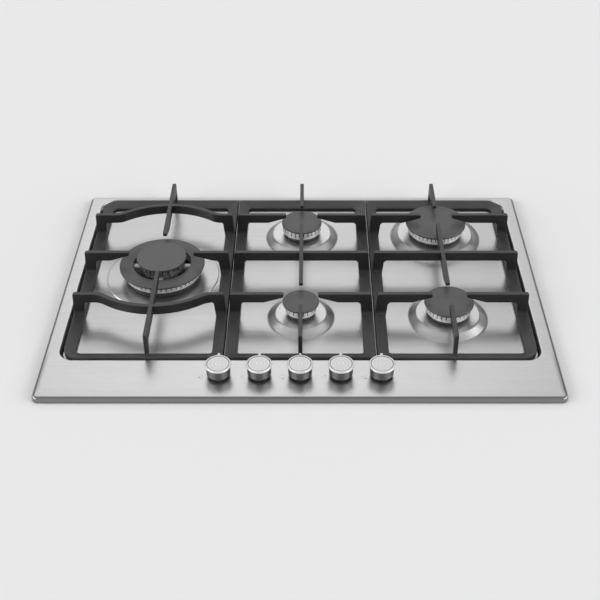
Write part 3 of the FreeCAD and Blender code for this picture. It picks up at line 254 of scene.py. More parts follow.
castLooks = {
    "castAluminium": (grey(0.46), grey(0.64), 1500.0, 60.0, 0.5, 0.42, 0.35, 0.0003),
    # the near-black casting is painted shade, below the crowns' port bands and on the wok centre's foot
    "paintedShadeCasting": (grey(0.015), grey(0.035), 1200.0, 45.0, 0.2, 0.5, 0.4, 0.0003),
    # a darker casting for the wok's centre burner
    "darkerCentreCasting": (grey(0.05), grey(0.22), 1400.0, 150.0, 0.5, 0.4, 0.4, 0.0003),
    "cupAluminium": (grey(0.30), grey(0.45), 900.0, 30.0, 1.0, 0.45, 0.4, 0.0004),
    "galvanised": ((0.42, 0.44, 0.46, 1), (0.58, 0.60, 0.61, 1), 60.0, 140.0, 1.0, 0.42, 0.05, 0.0005),
    "zinc": (grey(0.52), grey(0.66), 700.0, 200.0, 1.0, 0.3, 0.15, 0.0002),
    "brass": ((0.42, 0.28, 0.10, 1), (0.62, 0.44, 0.18, 1), 600.0, 90.0, 1.0, 0.3, 0.15, 0.0002),
    "drawnTube": (grey(0.55), grey(0.68), 800.0, 50.0, 1.0, 0.33, 0.12, 0.0002),
    "sensorSteel": ((0.30, 0.25, 0.20, 1), (0.50, 0.47, 0.43, 1), 900.0, 160.0, 1.0, 0.35, 0.15, 0.0002),
    # the knobs' lip: pale and part diffuse, a painted highlight
    "paleLipHighlight": (grey(0.66), grey(0.74), 900.0, 300.0, 0.35, 0.25, 0.05, 0.0001),
}
mouldedLooks = {
    "blackRubber": (grey(0.018), grey(0.030), 1100.0, 40.0, 0.0, 0.75, 0.3, 0.0003),
    # black plastic, also the painted shade on the caps' sides
    "blackPlasticAndCapShade": (grey(0.022), grey(0.034), 1600.0, 50.0, 0.0, 0.5, 0.25, 0.0002),
    "whitePlastic": (grey(0.62, 0.02), grey(0.72, 0.02), 1500.0, 40.0, 0.0, 0.45, 0.2, 0.0002),
    "glazedCeramic": (grey(0.60, 0.03), grey(0.74, 0.03), 300.0, 220.0, 0.0, 0.22, 0.1, 0.0003),
    "printInk": (grey(0.10), grey(0.15), 2500.0, 300.0, 0.0, 0.5, 0.1, 0.0001),
}
for paint, looks in ((castMetal, castLooks), (moulded, mouldedLooks)):
    for name, values in looks.items():
        newMaterial(name, paint, dict(zip(lookNames, values)))

slotFinishes = {
    "brushed_stainless": "plateSteel", "seal_foam": "blackRubber", "galvanised_tray": "galvanised",
    "galvanised_bracket": "galvanised", "zinc_screw": "zinc", "brass": "brass",
    "igniter_ceramic": "glazedCeramic", "sensor_steel": "sensorSteel", "cast_aluminium": "castAluminium",
    "cup_aluminium": "cupAluminium", "cap_enamel": "capEnamel", "grate_enamel": "grateEnamel",
    "black_rubber": "blackRubber", "spindle_steel": "zinc", "tube_aluminium": "drawnTube",
    "tap_casting": "cupAluminium", "black_plastic": "blackPlasticAndCapShade", "white_plastic": "whitePlastic",
    "pipe_steel": "zinc",
}
for entry in frame["record"]["subparts"]:
    node = frame["nodes"][entry["node"]]
    finish = slotFinishes.get(entry["material_slot"])
    if finish is not None:
        node.data.materials.clear()
        node.data.materials.append(finishes[finish])
print("materials made")


# outlines: each corner is (across, height, radius), and its round has this many steps
def roundedPath(corners, steps=5, closed=True):
    points = []
    count = len(corners)
    for i, (x, y, radius) in enumerate(corners):
        here = Vector((x, y))
        atEnd = not closed and i in (0, count - 1)
        if radius <= 0 or atEnd:
            points.append(here)
            continue
        before = (Vector(corners[i - 1][:2]) - here).normalized()
        after = (Vector(corners[(i + 1) % count][:2]) - here).normalized()
        half = before.angle(after) / 2
        if half > math.radians(89.5):
            points.append(here)
            continue
        centre = here + (before + after).normalized() * (radius / math.sin(half))
        start = here + before * (radius / math.tan(half)) - centre
        finish = here + after * (radius / math.tan(half)) - centre
        sweep = start.angle_signed(finish)
        for step in range(steps + 1):
            turn = Matrix.Rotation(-sweep * step / steps, 2)
            points.append(centre + turn @ start)
    return points


# a rounded rectangle that starts at the front left corner and runs anticlockwise
def rectangleLoop(x0, x1, y0, y1, radii, z, steps=8):
    radii = [radii] * 4 if isinstance(radii, (int, float)) else radii
    steps = [steps] * 4 if isinstance(steps, int) else steps
    corners = [(x0, y0, 1, 1, 180), (x1, y0, -1, 1, 270), (x1, y1, -1, -1, 0), (x0, y1, 1, -1, 90)]
    points = []
    for (x, y, sx, sy, first), radius, count in zip(corners, radii, steps):
        for step in range(count + 1):
            a = math.radians(first + 90 * step / count)
            points.append((x + radius * (sx + math.cos(a)), y + radius * (sy + math.sin(a)), z))
    return points


def circleLoop(x, y, radius, z, steps):
    turn = math.tau / steps
    return [(x + radius * math.cos(turn * i), y + radius * math.sin(turn * i), z) for i in range(steps)]


def addRing(bm, points):
    return [bm.verts.new(p) for p in points]


# quads between two rings; skip leaves out the side that starts at that point
def joinRings(bm, low, high, skip=None):
    count = len(low)
    for i in range(count):
        if i != skip:
            j = (i + 1) % count
            bm.faces.new((low[i], low[j], high[j], high[i]))


def joinChain(bm, rings, closed=False, skips=()):
    for k in range(len(rings) - 1):
        joinRings(bm, rings[k], rings[k + 1], dict(skips).get(k))
    if closed:
        joinRings(bm, rings[-1], rings[0])


# a flat sheet inside an outer ring and round the holes
def fillRegion(bm, outer, holes, normal=(0, 0, 1)):
    edges = []
    for ring in [outer] + holes:
        for i in range(len(ring)):
            pair = (ring[i], ring[(i + 1) % len(ring)])
            edges.append(bm.edges.get(pair) or bm.edges.new(pair))
    bmesh.ops.triangle_fill(bm, use_beauty=True, use_dissolve=False, edges=edges, normal=normal)


# turns an outline of (radius, height, round) corners, in millimetres, about an upright axis
def lathe(bm, corners, rounds, centre, steps=96, closed=False):
    rings = []
    for p in roundedPath(corners, rounds, closed):
        if p.x < 1e-4:
            rings.append([bm.verts.new((centre[0], centre[1], p.y * mm))])
        else:
            rings.append(addRing(bm, circleLoop(centre[0], centre[1], p.x * mm, p.y * mm, steps)))
    pairs = list(zip(rings, rings[1:]))
    if closed:
        pairs.append((rings[-1], rings[0]))
    for low, high in pairs:
        if len(low) == 1 or len(high) == 1:
            pole, ring = (low, high) if len(low) == 1 else (high, low)
            for i in range(steps):
                bm.faces.new((pole[0], ring[i], ring[(i + 1) % steps]))
        else:
            joinRings(bm, low, high)


def meshOf(name, bm):
    mesh = bpy.data.meshes.new(name)
    bm.to_mesh(mesh)
    bm.free()
    return mesh


def addObject(name, data):
    made = bpy.data.objects.new(name, data)
    scene.collection.objects.link(made)
    return made


# a finished piece: merged, closed, facing outwards, with clean bends
def makePiece(name, bm, finishNames, sharpAngle=35.0):
    bmesh.ops.remove_doubles(bm, verts=bm.verts, dist=2e-6)
    bmesh.ops.recalc_face_normals(bm, faces=bm.faces)
    piece = finishPiece(name, meshOf(name, bm), sharpAngle)
    for finish in finishNames:
        piece.data.materials.append(finishes[finish])
    even = piece.modifiers.new("evenNormals", "WEIGHTED_NORMAL")
    even.keep_sharp = True
    even.weight = 80
    return piece


def finishPiece(name, mesh, sharpAngle):
    mesh.shade_smooth()
    mesh.set_sharp_from_angle(angle=math.radians(sharpAngle))
    return addObject(name, mesh)


def place(piece, body, slotName, *nodes):
    if nodes:
        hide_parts(*nodes)
    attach(piece, body)
    return piece


# the result of live modifiers as a plain mesh
def plainMesh(piece):
    graph = bpy.context.evaluated_depsgraph_get()
    graph.update()
    return bpy.data.meshes.new_from_object(piece.evaluated_get(graph))


# Geometry Nodes: a tree with named inputs, and the wires that come from them
def newTree(name, inputs):
    tree = bpy.data.node_groups.new(name, "GeometryNodeTree")
    for label, kind in inputs.items():
        tree.interface.new_socket(label, in_out="INPUT", socket_type="NodeSocket" + kind)
    tree.interface.new_socket("Result", in_out="OUTPUT", socket_type="NodeSocketGeometry")
    g = Graph(tree)
    start = g.node("NodeGroupInput").socket.node
    return g, {socket.name: Wire(g, socket) for socket in start.outputs}


# a tree's end: copies of a piece on points, made real and given their finish
def endTree(g, finish, copies):
    loose = g.node("GeometryNodeInstanceOnPoints", {}, copies)
    solid = g.node("GeometryNodeRealizeInstances", {}, {0: loose})
    coat = g.node("GeometryNodeSetMaterial", {}, {"Geometry": solid, "Material": finish})
    g.node("NodeGroupOutput", {}, {0: coat})
    return g.tree


# what a tree makes of a mesh, as a plain mesh with no modifier left
def throughTree(tree, mesh, values):
    holder = addObject(mesh.name, mesh)
    modifier = holder.modifiers.new("pattern", "NODES")
    modifier.node_group = tree
    for item in tree.interface.items_tree:
        if item.in_out == "INPUT" and item.name in values:
            modifier[item.identifier] = values[item.name]
    result = plainMesh(holder)
    bpy.data.objects.remove(holder)
    return result


# copies a piece round an upright axis
def roundPatternTree():
    g, given = newTree("roundPattern", {"Piece": "Geometry", "Count": "Int", "Centre": "Vector",
                                        "Finish": "Material"})
    points = g.node("GeometryNodePoints", {}, {"Count": given["Count"], "Position": given["Centre"]})
    turn = g.node("GeometryNodeInputIndex") / given["Count"] * math.tau
    angle = g.node("ShaderNodeCombineXYZ", {}, {"Z": turn})
    return endTree(g, given["Finish"], {"Points": points, "Instance": given["Piece"], "Rotation": angle})


roundPattern = roundPatternTree()


# the piece repeated about centre, as a plain mesh
def roundCopies(bm, count, centre, finish):
    bmesh.ops.recalc_face_normals(bm, faces=bm.faces)
    return throughTree(roundPattern, meshOf("patternPiece", bm), {
        "Count": count, "Centre": (centre.x, centre.y, 0.0), "Finish": finishes[finish]})


# the pressed plate: rim, border, sunken well and raised discs, in one sheet
# discs are (flat radius, foot radius), and stepPath is how far the wok step's line lies from its
# radius and from the floor, with the groove round it first
plate = {
    "sheet": 1.0, "bottom": 1.5, "rimRound": 4.5, "rimHeight": 10.5, "crest": 12.0, "corner": 9.0,
    "front": 81.0, "side": 23.0, "rear": 11.0, "wellCorner": 22.0, "rearCorner": 26.0, "floor": 3.0,
    "draft": 2.0, "edgeRoll": 2.4, "floorRoll": 1.8, "flange": 7.0, "flangeCorner": 3.0, "cornerSteps": 10,
    "fallSteps": 8, "circleSteps": 96, "stepSteps": 128, "sideRise": 0.4, "fall": 0.12, "blend": 0.2,
    "arch": 1.6, "bands": (0.08, 0.16, 0.26, 0.36, 0.46, 0.70, 0.80, 0.90), "tapBand": 0.46,
    "discTop": 12.0, "discs": {"rear_centre": (48.5, 60.0), "front_centre": (39.0, 51.0),
                               "rear_right": (62.0, 75.0), "front_right": (48.5, 60.5)},
    "footRoll": 6.0, "topRoll": 4.5, "stepRadius": 89.0, "stepHeight": 0.8, "stepShrink": 0.8,
    "stepPath": ((1.7, 0.0), (1.3, -0.45), (0.5, -0.5), (0.0, 0.24), (-0.4, 0.72), (-1.0, 0.8)),
    "neckInset": 11.5, "neckWok": 30.5, "elementHole": 3.9, "elementOffset": 4.4,
    "elementAngles": (60, 120), "spindleHole": 6.5,
}


def crownCentre(name):
    return centreOf("crown_" + name)


def holeRings(bm, name, top, under):
    x, y = crownCentre(name)[:2]
    r = radiusOf("crown_" + name)
    neck = plate["neckWok"] * mm if name == "wok" else r - plate["neckInset"] * mm
    circles = [(x, y, neck, 64)]
    for degrees in plate["elementAngles"]:
        a = math.radians(degrees)
        reach = r + plate["elementOffset"] * mm
        circles.append((x + reach * math.cos(a), y + reach * math.sin(a), plate["elementHole"] * mm, 20))
    high, low = [], []
    for cx, cy, radius, steps in circles:
        upper = addRing(bm, circleLoop(cx, cy, radius, top, steps))
        lower = addRing(bm, circleLoop(cx, cy, radius, under, steps))
        joinRings(bm, upper, lower)
        high.append(upper)
        low.append(lower)
    return high, low


# the rounded rise from the well's floor to a flat disc, as (radius, height) in millimetres
def risePath(foot, flat, low, high, sheet):
    corners = [(foot + 12, low, 0), (foot, low, plate["footRoll"]), (flat, high, plate["topRoll"]),
               (flat - 12, high, 0)]
    return [(p.x - 0.7 * sheet, p.y - sheet) for p in roundedPath(corners, 7, False)][1:-1]


# the lower of two heights, with a soft bend where they meet
def softLower(a, b, blend):
    share = max(blend - abs(a - b), 0.0) / blend
    return min(a, b) - share * share * blend / 4


def buildPlate():
    low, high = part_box("hob_top")
    p = plate
    steps = p["cornerSteps"]
    wall = p["edgeRoll"]
    roll = p["floorRoll"]
    bottom = p["bottom"]
    thick = p["sheet"]
    edges = [low.x / mm, high.x / mm, low.y / mm, high.y / mm]
    cornerCount = [steps + p["fallSteps"]] * 2 + [steps] * 2

    # at the front corners the rim's loop also takes in the side border's last stretch
    def rimLoop(inset, z, corner):
        x0, x1, y0, y1 = edges[0] + inset, edges[1] - inset, edges[2] + inset, edges[3] - inset
        plain = rectangleLoop(x0, x1, y0, y1, corner, z, steps)
        reach = edges[2] + p["front"] + p["wellCorner"]
        drop = [reach + (y0 + corner - reach) * i / p["fallSteps"] for i in range(p["fallSteps"])]
        left = [(x0, y, z) for y in drop] + plain[:steps + 1]
        right = plain[steps + 1:2 * steps + 2] + [(x1, y, z) for y in reversed(drop)]
        return left + right + plain[2 * steps + 2:]

    def wellLoop(grow, z):
        front, rear = p["wellCorner"] + grow, p["rearCorner"] + grow
        return rectangleLoop(edges[0] + p["side"] - grow, edges[1] - p["side"] + grow,
                             edges[2] + p["front"] - grow, edges[3] - p["rear"] + grow,
                             [front, front, rear, rear], z, cornerCount)

    # how far the border stands above the rim: it falls gently to the front, and steeply past the
    # well's corners
    def borderRise(x, y):
        crest = p["crest"] - p["rimHeight"]
        ledge = p["rimRound"]
        along = min(max((y - edges[2] - ledge) / (p["front"] - ledge - wall), 0.0), 1.0)
        front = crest * (1 - (1 - along) ** p["arch"])
        fromSide = max(min(x - edges[0], edges[1] - x) - ledge, 0.0)
        fromRear = max(edges[3] - y - ledge, 0.0)
        beside = p["sideRise"] * min(1.0, fromSide / (p["side"] - ledge - wall))
        behind = p["sideRise"] * min(1.0, fromRear / (p["rear"] - ledge - wall))
        turn = min(max((y - edges[2] - p["front"] + 2) / p["wellCorner"], 0.0), 1.0)
        turn = turn * turn * (3 - 2 * turn)
        side = fromSide * p["fall"] * (1 - turn) + beside * turn
        return max(softLower(softLower(front, side, p["blend"]), behind, p["blend"]), 0.0)

    def borderLoop(share, drop):
        outer = rimLoop(p["rimRound"], 0, p["corner"] - p["rimRound"])
        inner = wellLoop(wall, 0)
        flat = [(a[0] + (b[0] - a[0]) * share, a[1] + (b[1] - a[1]) * share) for a, b in zip(outer, inner)]
        return [(x, y, p["rimHeight"] + borderRise(x, y) - drop) for x, y in flat]

    crest = [point[2] for point in borderLoop(1.0, 0.0)]

    def edgeLoop(grow, drop):
        return [(x, y, top - drop) for (x, y, z), top in zip(wellLoop(grow, 0), crest)]

    bm = bmesh.new()
    quarter = [math.radians(a) for a in range(0, 91, 15)]
    chain = []
    for t in quarter:  # floor to wall, concave
        chain.append(wellLoop(-p["draft"] - roll * (1 - math.sin(t)),
                              p["floor"] + roll * (1 - math.cos(t))))
    for t in reversed(quarter):  # wall to border, convex
        chain.append(edgeLoop(wall * (1 - math.sin(t)), wall * (1 - math.cos(t))))
    strip = p["bands"].index(p["tapBand"])
    topSkip = len(chain) + len(p["bands"]) - 2 - strip
    chain += [borderLoop(share, 0.0) for share in reversed(p["bands"])]
    for t in quarter:  # border to rim
        inset = p["rimRound"] * (1 - math.sin(t))
        z = p["rimHeight"] - p["rimRound"] * (1 - math.cos(t))
        chain.append(rimLoop(inset, z, p["corner"] - inset))
    below = [rimLoop(0.0, bottom, p["corner"]), rimLoop(p["flange"], bottom, p["flangeCorner"]),
             rimLoop(p["flange"], bottom + thick, p["flangeCorner"]),
             rimLoop(thick, bottom + thick, p["corner"] - thick)]
    under = []
    for t in quarter:
        inset = thick + (p["rimRound"] - thick) * (1 - math.cos(t))
        under.append(rimLoop(inset, p["rimHeight"] - p["rimRound"] + (p["rimRound"] - thick) * math.sin(t),
                             p["corner"] - inset))
    underSkip = len(chain) + len(below) + len(under) + strip
    under += [borderLoop(share, thick) for share in p["bands"]]
    for t in quarter:
        r = wall - thick
        under.append(edgeLoop(thick + r * (1 - math.sin(t)), thick + r * (1 - math.cos(t))))
    for t in reversed(quarter):
        r = roll + thick
        under.append(wellLoop(thick - p["draft"] - r * (1 - math.sin(t)),
                              p["floor"] - thick + r * (1 - math.cos(t))))
    rings = [addRing(bm, [Vector(point) * mm for point in loop]) for loop in chain + below + under]
    side = cornerCount[0]
    joinChain(bm, rings, skips=[(topSkip, side), (underSkip, side)])

    def facet(index):  # the front border's flat strip, as the ring round its missing side
        a, b = rings[index], rings[index + 1]
        return [a[side], a[side + 1], b[side + 1], b[side]]

    upperFacet, lowerFacet = facet(topSkip), facet(underSkip)
    upperHoles, lowerHoles = [], []
    for name in tapNames:
        x, y = centreOf("tap_plug_" + name)[:2]
        for ring, holes in ((upperFacet, upperHoles), (lowerFacet, lowerHoles)):
            front = min(ring, key=lambda v: v.co.y).co
            back = max(ring, key=lambda v: v.co.y).co
            rise = (back.z - front.z) / (back.y - front.y)
            circle = circleLoop(x, y, p["spindleHole"] * mm, 0, 32)
            holes.append(addRing(bm, [(cx, cy, front.z + rise * (cy - front.y)) for cx, cy, z in circle]))
        joinRings(bm, upperHoles[-1], lowerHoles[-1])
    fillRegion(bm, upperFacet, upperHoles)
    fillRegion(bm, lowerFacet, lowerHoles)

    floorHoles, underHoles = [], []

    # a disc or step: its rise above and below the sheet, and its flat top with the burner's holes
    def addRaised(name, top, steps, path):
        x, y = crownCentre(name)[:2]
        ends = []
        for drop, holes in ((0.0, floorHoles), (thick, underHoles)):
            made = [addRing(bm, circleLoop(x, y, r * mm, z * mm, steps)) for r, z in path(drop)]
            joinChain(bm, made)
            holes.append(made[0])
            ends.append(made[-1])
        for end, holes in zip(ends, holeRings(bm, name, top * mm, (top - thick) * mm)):
            fillRegion(bm, end, holes)

    for name in burnerNames:
        flat, foot = p["discs"][name]
        addRaised(name, p["discTop"], p["circleSteps"],
                  lambda drop: risePath(foot, flat, p["floor"], p["discTop"], drop))
    addRaised("wok", p["floor"] + p["stepHeight"], p["stepSteps"],
              lambda drop: [(p["stepRadius"] + r - p["stepShrink"] * drop, p["floor"] + z - drop)
                            for r, z in p["stepPath"]])
    fillRegion(bm, rings[0], floorHoles)
    fillRegion(bm, rings[-1], underHoles)
    place(makePiece("hobPlate", bm, ["plateSteel"], 40.0), "hob", "brushed_stainless", "hob_top")


buildPlate()
print("plate made")


# pan supports
support = {
    "bar": 17.0, "frontBar": 13.5, "bottom": 4.5, "outerTop": 12.5, "innerTop": 8.0, "corner": 26.0,
    "jointCorner": 5.0, "insideCorner": 5.0, "edgeRound": 1.6, "flare": 1.1, "top": 50.0, "depth": 15.5,
    "width": 6.0, "tipDepth": 6.0, "taper": 30.0, "tipRadius": 26.0, "wokTipRadius": 51.5, "sidePost": 16.2,
    "endPost": 7.5, "draft": 2.6, "inset": 0.6, "footLevel": 6.0, "knee": 3.5, "stub": 4.0, "stubLap": 1.5,
    "topRound": 2.0, "tipRound": 1.6, "taperRound": 8.0, "edgeBevel": 0.9, "arcRadius": 125.0,
    "halfChord": 80.0, "bend": 0.088, "bendLead": 9.0, "bendSteps": 5, "arcSteps": 24,
}


def frameBar(x0, x1, y0, y1, outerRadii):
    s = support
    section = roundedPath([(-s["flare"], s["bottom"], 0.6), (0, s["outerTop"], s["edgeRound"]),
                           (s["bar"], s["innerTop"], s["edgeRound"]), (s["bar"], s["bottom"], 0.8)], 4)
    bm = bmesh.new()
    rings = []
    for p in section:
        share = p.x / s["bar"]
        d = p.x * mm
        radii = [(r + (max(s["insideCorner"], r - s["bar"]) - r) * share) * mm for r in outerRadii]
        front = d * s["frontBar"] / s["bar"]
        rings.append(addRing(bm, rectangleLoop(x0 + d, x1 - d, y0 + front, y1 - d, radii, p.y * mm, 8)))
    joinChain(bm, rings, closed=True)
    return bm


# the outlines of bars, as (distance in from the frame's edge, height, round): a crossbar's side post,
# a finger that ends at reach, a bar right across, the stub of a bowed bar, and the spine between tips
def postCorners(post, end, knee):
    s = support
    lean = s["inset"] + s["draft"]
    under = s["top"] - s["depth"]
    return [(s["inset"], s["footLevel"], 0), (lean, s["top"], s["topRound"])] + end + [
        (lean + post, under, knee), (s["inset"] + post, s["footLevel"], 0)]


def tipCorners(reach, inward=-1):
    s = support
    return [(reach, s["top"], s["tipRound"]), (reach, s["top"] - s["tipDepth"], s["tipRound"]),
            (reach + inward * s["taper"], s["top"] - s["depth"], s["taperRound"])]


def barCorners(span):
    s = support
    left = postCorners(s["sidePost"], [], s["knee"])
    right = [(span - x, z, radius) for x, z, radius in left[1::-1] + left[:1:-1]]
    return left[:2] + right + left[2:]


# closes a skin between two rings and softens the edges of its ends
def closeSoftly(bm, near, far):
    joinRings(bm, near, far)
    ends = [bm.faces.new(near), bm.faces.new(far)]
    bmesh.ops.bevel(bm, geom=[*ends[0].edges, *ends[1].edges], offset=support["edgeBevel"] * mm,
                    segments=3, profile=0.5, affect="EDGES", clamp_overlap=True)
    return bm


# an upright bar; where gives each outline point its place, and w lies across the bar
def uprightBar(corners, where):
    outline = roundedPath(corners, 5)
    half = support["width"] / 2
    bm = bmesh.new()
    near, far = [addRing(bm, [where(p.x * mm, p.y * mm, w * mm) for p in outline]) for w in (-half, half)]
    return closeSoftly(bm, near, far)


def alongX(edge, inward, row):
    return lambda a, h, w: (edge + inward * a, row + w, h)


def alongY(edge, inward, column):
    return lambda a, h, w: (column + w, edge + inward * a, h)


# a crossbar seen from above, bowed outwards round the wok burner
def bowedBar(x0, x1, row, outward, column):
    s = support
    drop = math.sqrt(s["arcRadius"] ** 2 - s["halfChord"] ** 2)

    def side(offset):
        radius = s["arcRadius"] + offset
        chord = math.sqrt(radius ** 2 - (drop + offset) ** 2)
        reach = math.asin(chord / radius) - s["bend"]
        turns = [reach * (2 * i / s["arcSteps"] - 1) for i in range(s["arcSteps"] + 1)]
        arc = [Vector((radius * math.sin(a), radius * math.cos(a) - drop)) for a in turns]
        lead, knee = Vector((-chord - s["bendLead"], offset)), Vector((-chord, offset))
        bend = []
        for i in range(s["bendSteps"] + 1):
            t = i / s["bendSteps"]
            bend.append(lead * (1 - t) ** 2 + knee * 2 * t * (1 - t) + arc[0] * t ** 2)
        return ([Vector((x0 / mm - column / mm, offset))] + bend + arc[1:-1] +
                [Vector((-p.x, p.y)) for p in reversed(bend)] + [Vector((x1 / mm - column / mm, offset))])

    half = s["width"] / 2
    flat = [(column + p.x * mm, row + outward * p.y * mm) for p in side(half) + side(-half)[::-1]]
    bm = bmesh.new()
    levels = (s["top"] - s["depth"], s["top"])
    bottom, top = [addRing(bm, [(x, y, z * mm) for x, y in flat]) for z in levels]
    return closeSoftly(bm, bottom, top)


# the parts of a casting joined into one closed skin
def joinSolids(name, solids, finishNames):
    objects = []
    for bm in solids:
        bmesh.ops.remove_doubles(bm, verts=bm.verts, dist=1e-6)
        bmesh.ops.recalc_face_normals(bm, faces=bm.faces)
        objects.append(addObject(name + "Part", meshOf(name + "Part", bm)))
    whole = objects[0]
    for part in objects[1:]:
        union = whole.modifiers.new("union", "BOOLEAN")
        union.operation = "UNION"
        union.solver = "MANIFOLD"
        union.object = part
    mesh = plainMesh(whole)
    for part in objects:
        bpy.data.objects.remove(part)
    bm = bmesh.new()
    bm.from_mesh(mesh)
    bmesh.ops.remove_doubles(bm, verts=bm.verts, dist=2e-6)
    bmesh.ops.dissolve_degenerate(bm, edges=bm.edges, dist=2e-6)
    return makePiece(name, bm, finishNames, 38.0)


def buildSupport(side):
    s = support
    low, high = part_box("pan_support_" + side)
    x0, x1, y0, y1 = low.x, high.x, low.y, high.y
    wide, narrow = s["corner"], s["jointCorner"]
    corners = {"left": [wide, narrow, narrow, wide], "middle": [narrow] * 4,
               "right": [narrow, wide, wide, narrow]}[side]
    solids = [frameBar(x0, x1, y0, y1, corners)]

    def addBar(outline, where):
        solids.append(uprightBar(outline, where))

    # fingers that end at tip from a burner: from both sides in each row, and from the frame's ends
    def addFingers(column, rows, tip, ends):
        for row in rows:
            for edge, inward in ((x0, 1), (x1, -1)):
                reach = inward * (column - edge) - tip
                corners = postCorners(s["sidePost"], tipCorners(reach / mm), s["knee"])
                addBar(corners, alongX(edge, inward, row))
        for edge, inward, centre in ends:
            reach = inward * (centre - edge) - tip
            corners = postCorners(s["endPost"], tipCorners(reach / mm), s["knee"])
            addBar(corners, alongY(edge, inward, column))

    rear, middle, front = [crownCentre(name).y for name in ("rear_centre", "wok", "front_centre")]
    if side == "left":
        column = crownCentre("wok").x
        length = s["inset"] + s["draft"] + s["sidePost"] + s["stub"]
        end = [(length, s["top"], 0), (length, s["top"] - s["depth"], 0)]
        lap = (length - s["stubLap"]) * mm
        for row, outward in ((rear, 1), (front, -1)):
            for edge, inward in ((x0, 1), (x1, -1)):
                addBar(postCorners(s["sidePost"], end, s["knee"] / 2), alongX(edge, inward, row))
            solids.append(bowedBar(x0 + lap, x1 - lap, row, outward, column))
        addFingers(column, [middle], s["wokTipRadius"] * mm, ((y1, -1, middle), (y0, 1, middle)))
    else:
        column = crownCentre("rear_centre" if side == "middle" else "rear_right").x
        tip = s["tipRadius"] * mm
        addFingers(column, [rear, front], tip, ())
        addBar(barCorners((x1 - x0) / mm), alongX(x0, 1, middle))
        length = (rear - front - 2 * tip) / mm
        addBar(tipCorners(length) + tipCorners(0.0, 1)[::-1], alongY(front + tip, 1, column))
        addFingers(column, [], tip, ((y1, -1, rear), (y0, 1, front)))
    piece = joinSolids("panSupport" + side.capitalize(), solids, ["grateEnamel"])
    place(piece, "support_" + side, "grate_enamel", "pan_support_" + side)


for side in ("left", "middle", "right"):
    buildSupport(side)
print("pan supports made")


# burner caps and crowns
# the cap's side is painted shade from a share of its edge round below the top
cap = {
    "edge": 1.1, "underEdge": 0.6, "shadeShare": 0.6, "spigotDrop": 2.0, "spigotWall": 3.0,
    "spigotGap": 0.4, "spigotEdge": 0.3,
}
crown = {
    "wall": 3.5, "portDepth": 9.0, "portWidth": 1.6, "blockSteps": 3, "blockSunk": 0.1, "lip": 3.5,
    "recess": 2.8, "bandFoot": 19.5, "bandRise": 1.0, "bandRound": 0.6, "seat": 12.0, "seatGap": 0.5,
    "neckInset": 14.9, "neckFoot": 2.0, "skirt": 2.5, "well": 5.0,
    "ports": {"rear_centre": 28, "front_centre": 20, "rear_right": 40, "front_right": 30},
}


# painted shade: faces below a height take the piece's second, darker finish
def paintShadeBelow(bm, level):
    for face in bm.faces:
        if face.calc_center_median().z < level * mm:
            face.material_index = 1


# painted shade: the edge of a cap is blacker than its top
def finishCap(node, bm, top):
    paintShadeBelow(bm, top - cap["edge"] * cap["shadeShare"])
    place(makePiece(node + "_skin", bm, ["capEnamel", "blackPlasticAndCapShade"]), node, "cap_enamel", node)


# a round cap with a spigot that drops into its crown
def buildCap(name, crownRadius):
    low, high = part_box("cap_" + name)
    c = cap
    r = radiusOf("cap_" + name) / mm
    spigot = crownRadius - crown["wall"] - c["spigotGap"]
    inner = spigot - c["spigotWall"]
    top, foot = high.z / mm, low.z / mm
    under = foot + c["spigotDrop"]
    bm = bmesh.new()
    lathe(bm, [(0, under, 0), (inner, under, 0), (inner, foot, 0), (spigot, foot, c["spigotEdge"]),
               (spigot, under, 0), (r, under, c["underEdge"]), (r, top, c["edge"]), (0, top, 0)],
          5, centreOf("cap_" + name))
    finishCap("cap_" + name, bm, top)


# one block of a crown's rim, between two ports, about the origin
def portBlock(radius, wall, count, low, high):
    bm = bmesh.new()
    half = math.pi / count - crown["portWidth"] / 2 / radius
    rings = []
    for i in range(crown["blockSteps"] + 1):
        a = -half + 2 * half * i / crown["blockSteps"]
        c, s = math.cos(a), math.sin(a)
        section = [(radius - wall, low), (radius, low), (radius, high), (radius - wall, high)]
        rings.append([bm.verts.new((r * mm * c, r * mm * s, z * mm)) for r, z in section])
    for a, b in zip(rings, rings[1:]):
        joinRings(bm, a, b)
    bm.faces.new(rings[0])
    bm.faces.new(rings[-1])
    return bm


# the ring of blocks round a crown, as material index of it
def addBlocks(bm, centre, radius, wall, count, shelf, top, index):
    block = portBlock(radius, wall, count, shelf - crown["blockSunk"], top)
    addMesh(bm, roundCopies(block, count, centre, "castAluminium"), index)


def addMesh(bm, mesh, index):
    before = len(bm.faces)
    bm.from_mesh(mesh)
    bm.faces.ensure_lookup_table()
    for face in bm.faces[before:]:
        face.material_index = index


def buildCrown(name):
    c = crown
    low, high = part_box("crown_" + name)
    centre = centreOf("crown_" + name)
    r = radiusOf("crown_" + name) / mm
    top, foot = high.z / mm, low.z / mm + c["neckFoot"]
    seat = c["seat"] + c["seatGap"]
    lip = c["seat"] + c["lip"]
    shelf = top - c["portDepth"]
    inner, skirt = r - c["neckInset"], r - c["recess"]
    bm = bmesh.new()
    lathe(bm, [(0, foot, 0), (inner, foot, 0.5), (inner, lip, 0), (skirt - c["skirt"], lip, 0),
               (skirt - c["skirt"], seat, 0), (skirt, seat, 0.4),
               (skirt, c["bandFoot"] - c["bandRise"], 0.5), (r, c["bandFoot"], c["bandRound"]),
               (r, shelf, 0), (r - c["wall"], shelf, 0),
               (r - c["wall"], shelf - c["well"], 0), (0, shelf - c["well"], 0)], 4, centre)
    # painted shade: the crown below its port band takes the near-black casting
    paintShadeBelow(bm, c["bandFoot"] - c["bandRound"])
    addBlocks(bm, centre, r, c["wall"], c["ports"][name], shelf, top, 0)
    piece = makePiece("crown_" + name + "_skin", bm, ["castAluminium", "paintedShadeCasting"])
    place(piece, "crown_" + name, "cast_aluminium", "crown_" + name)


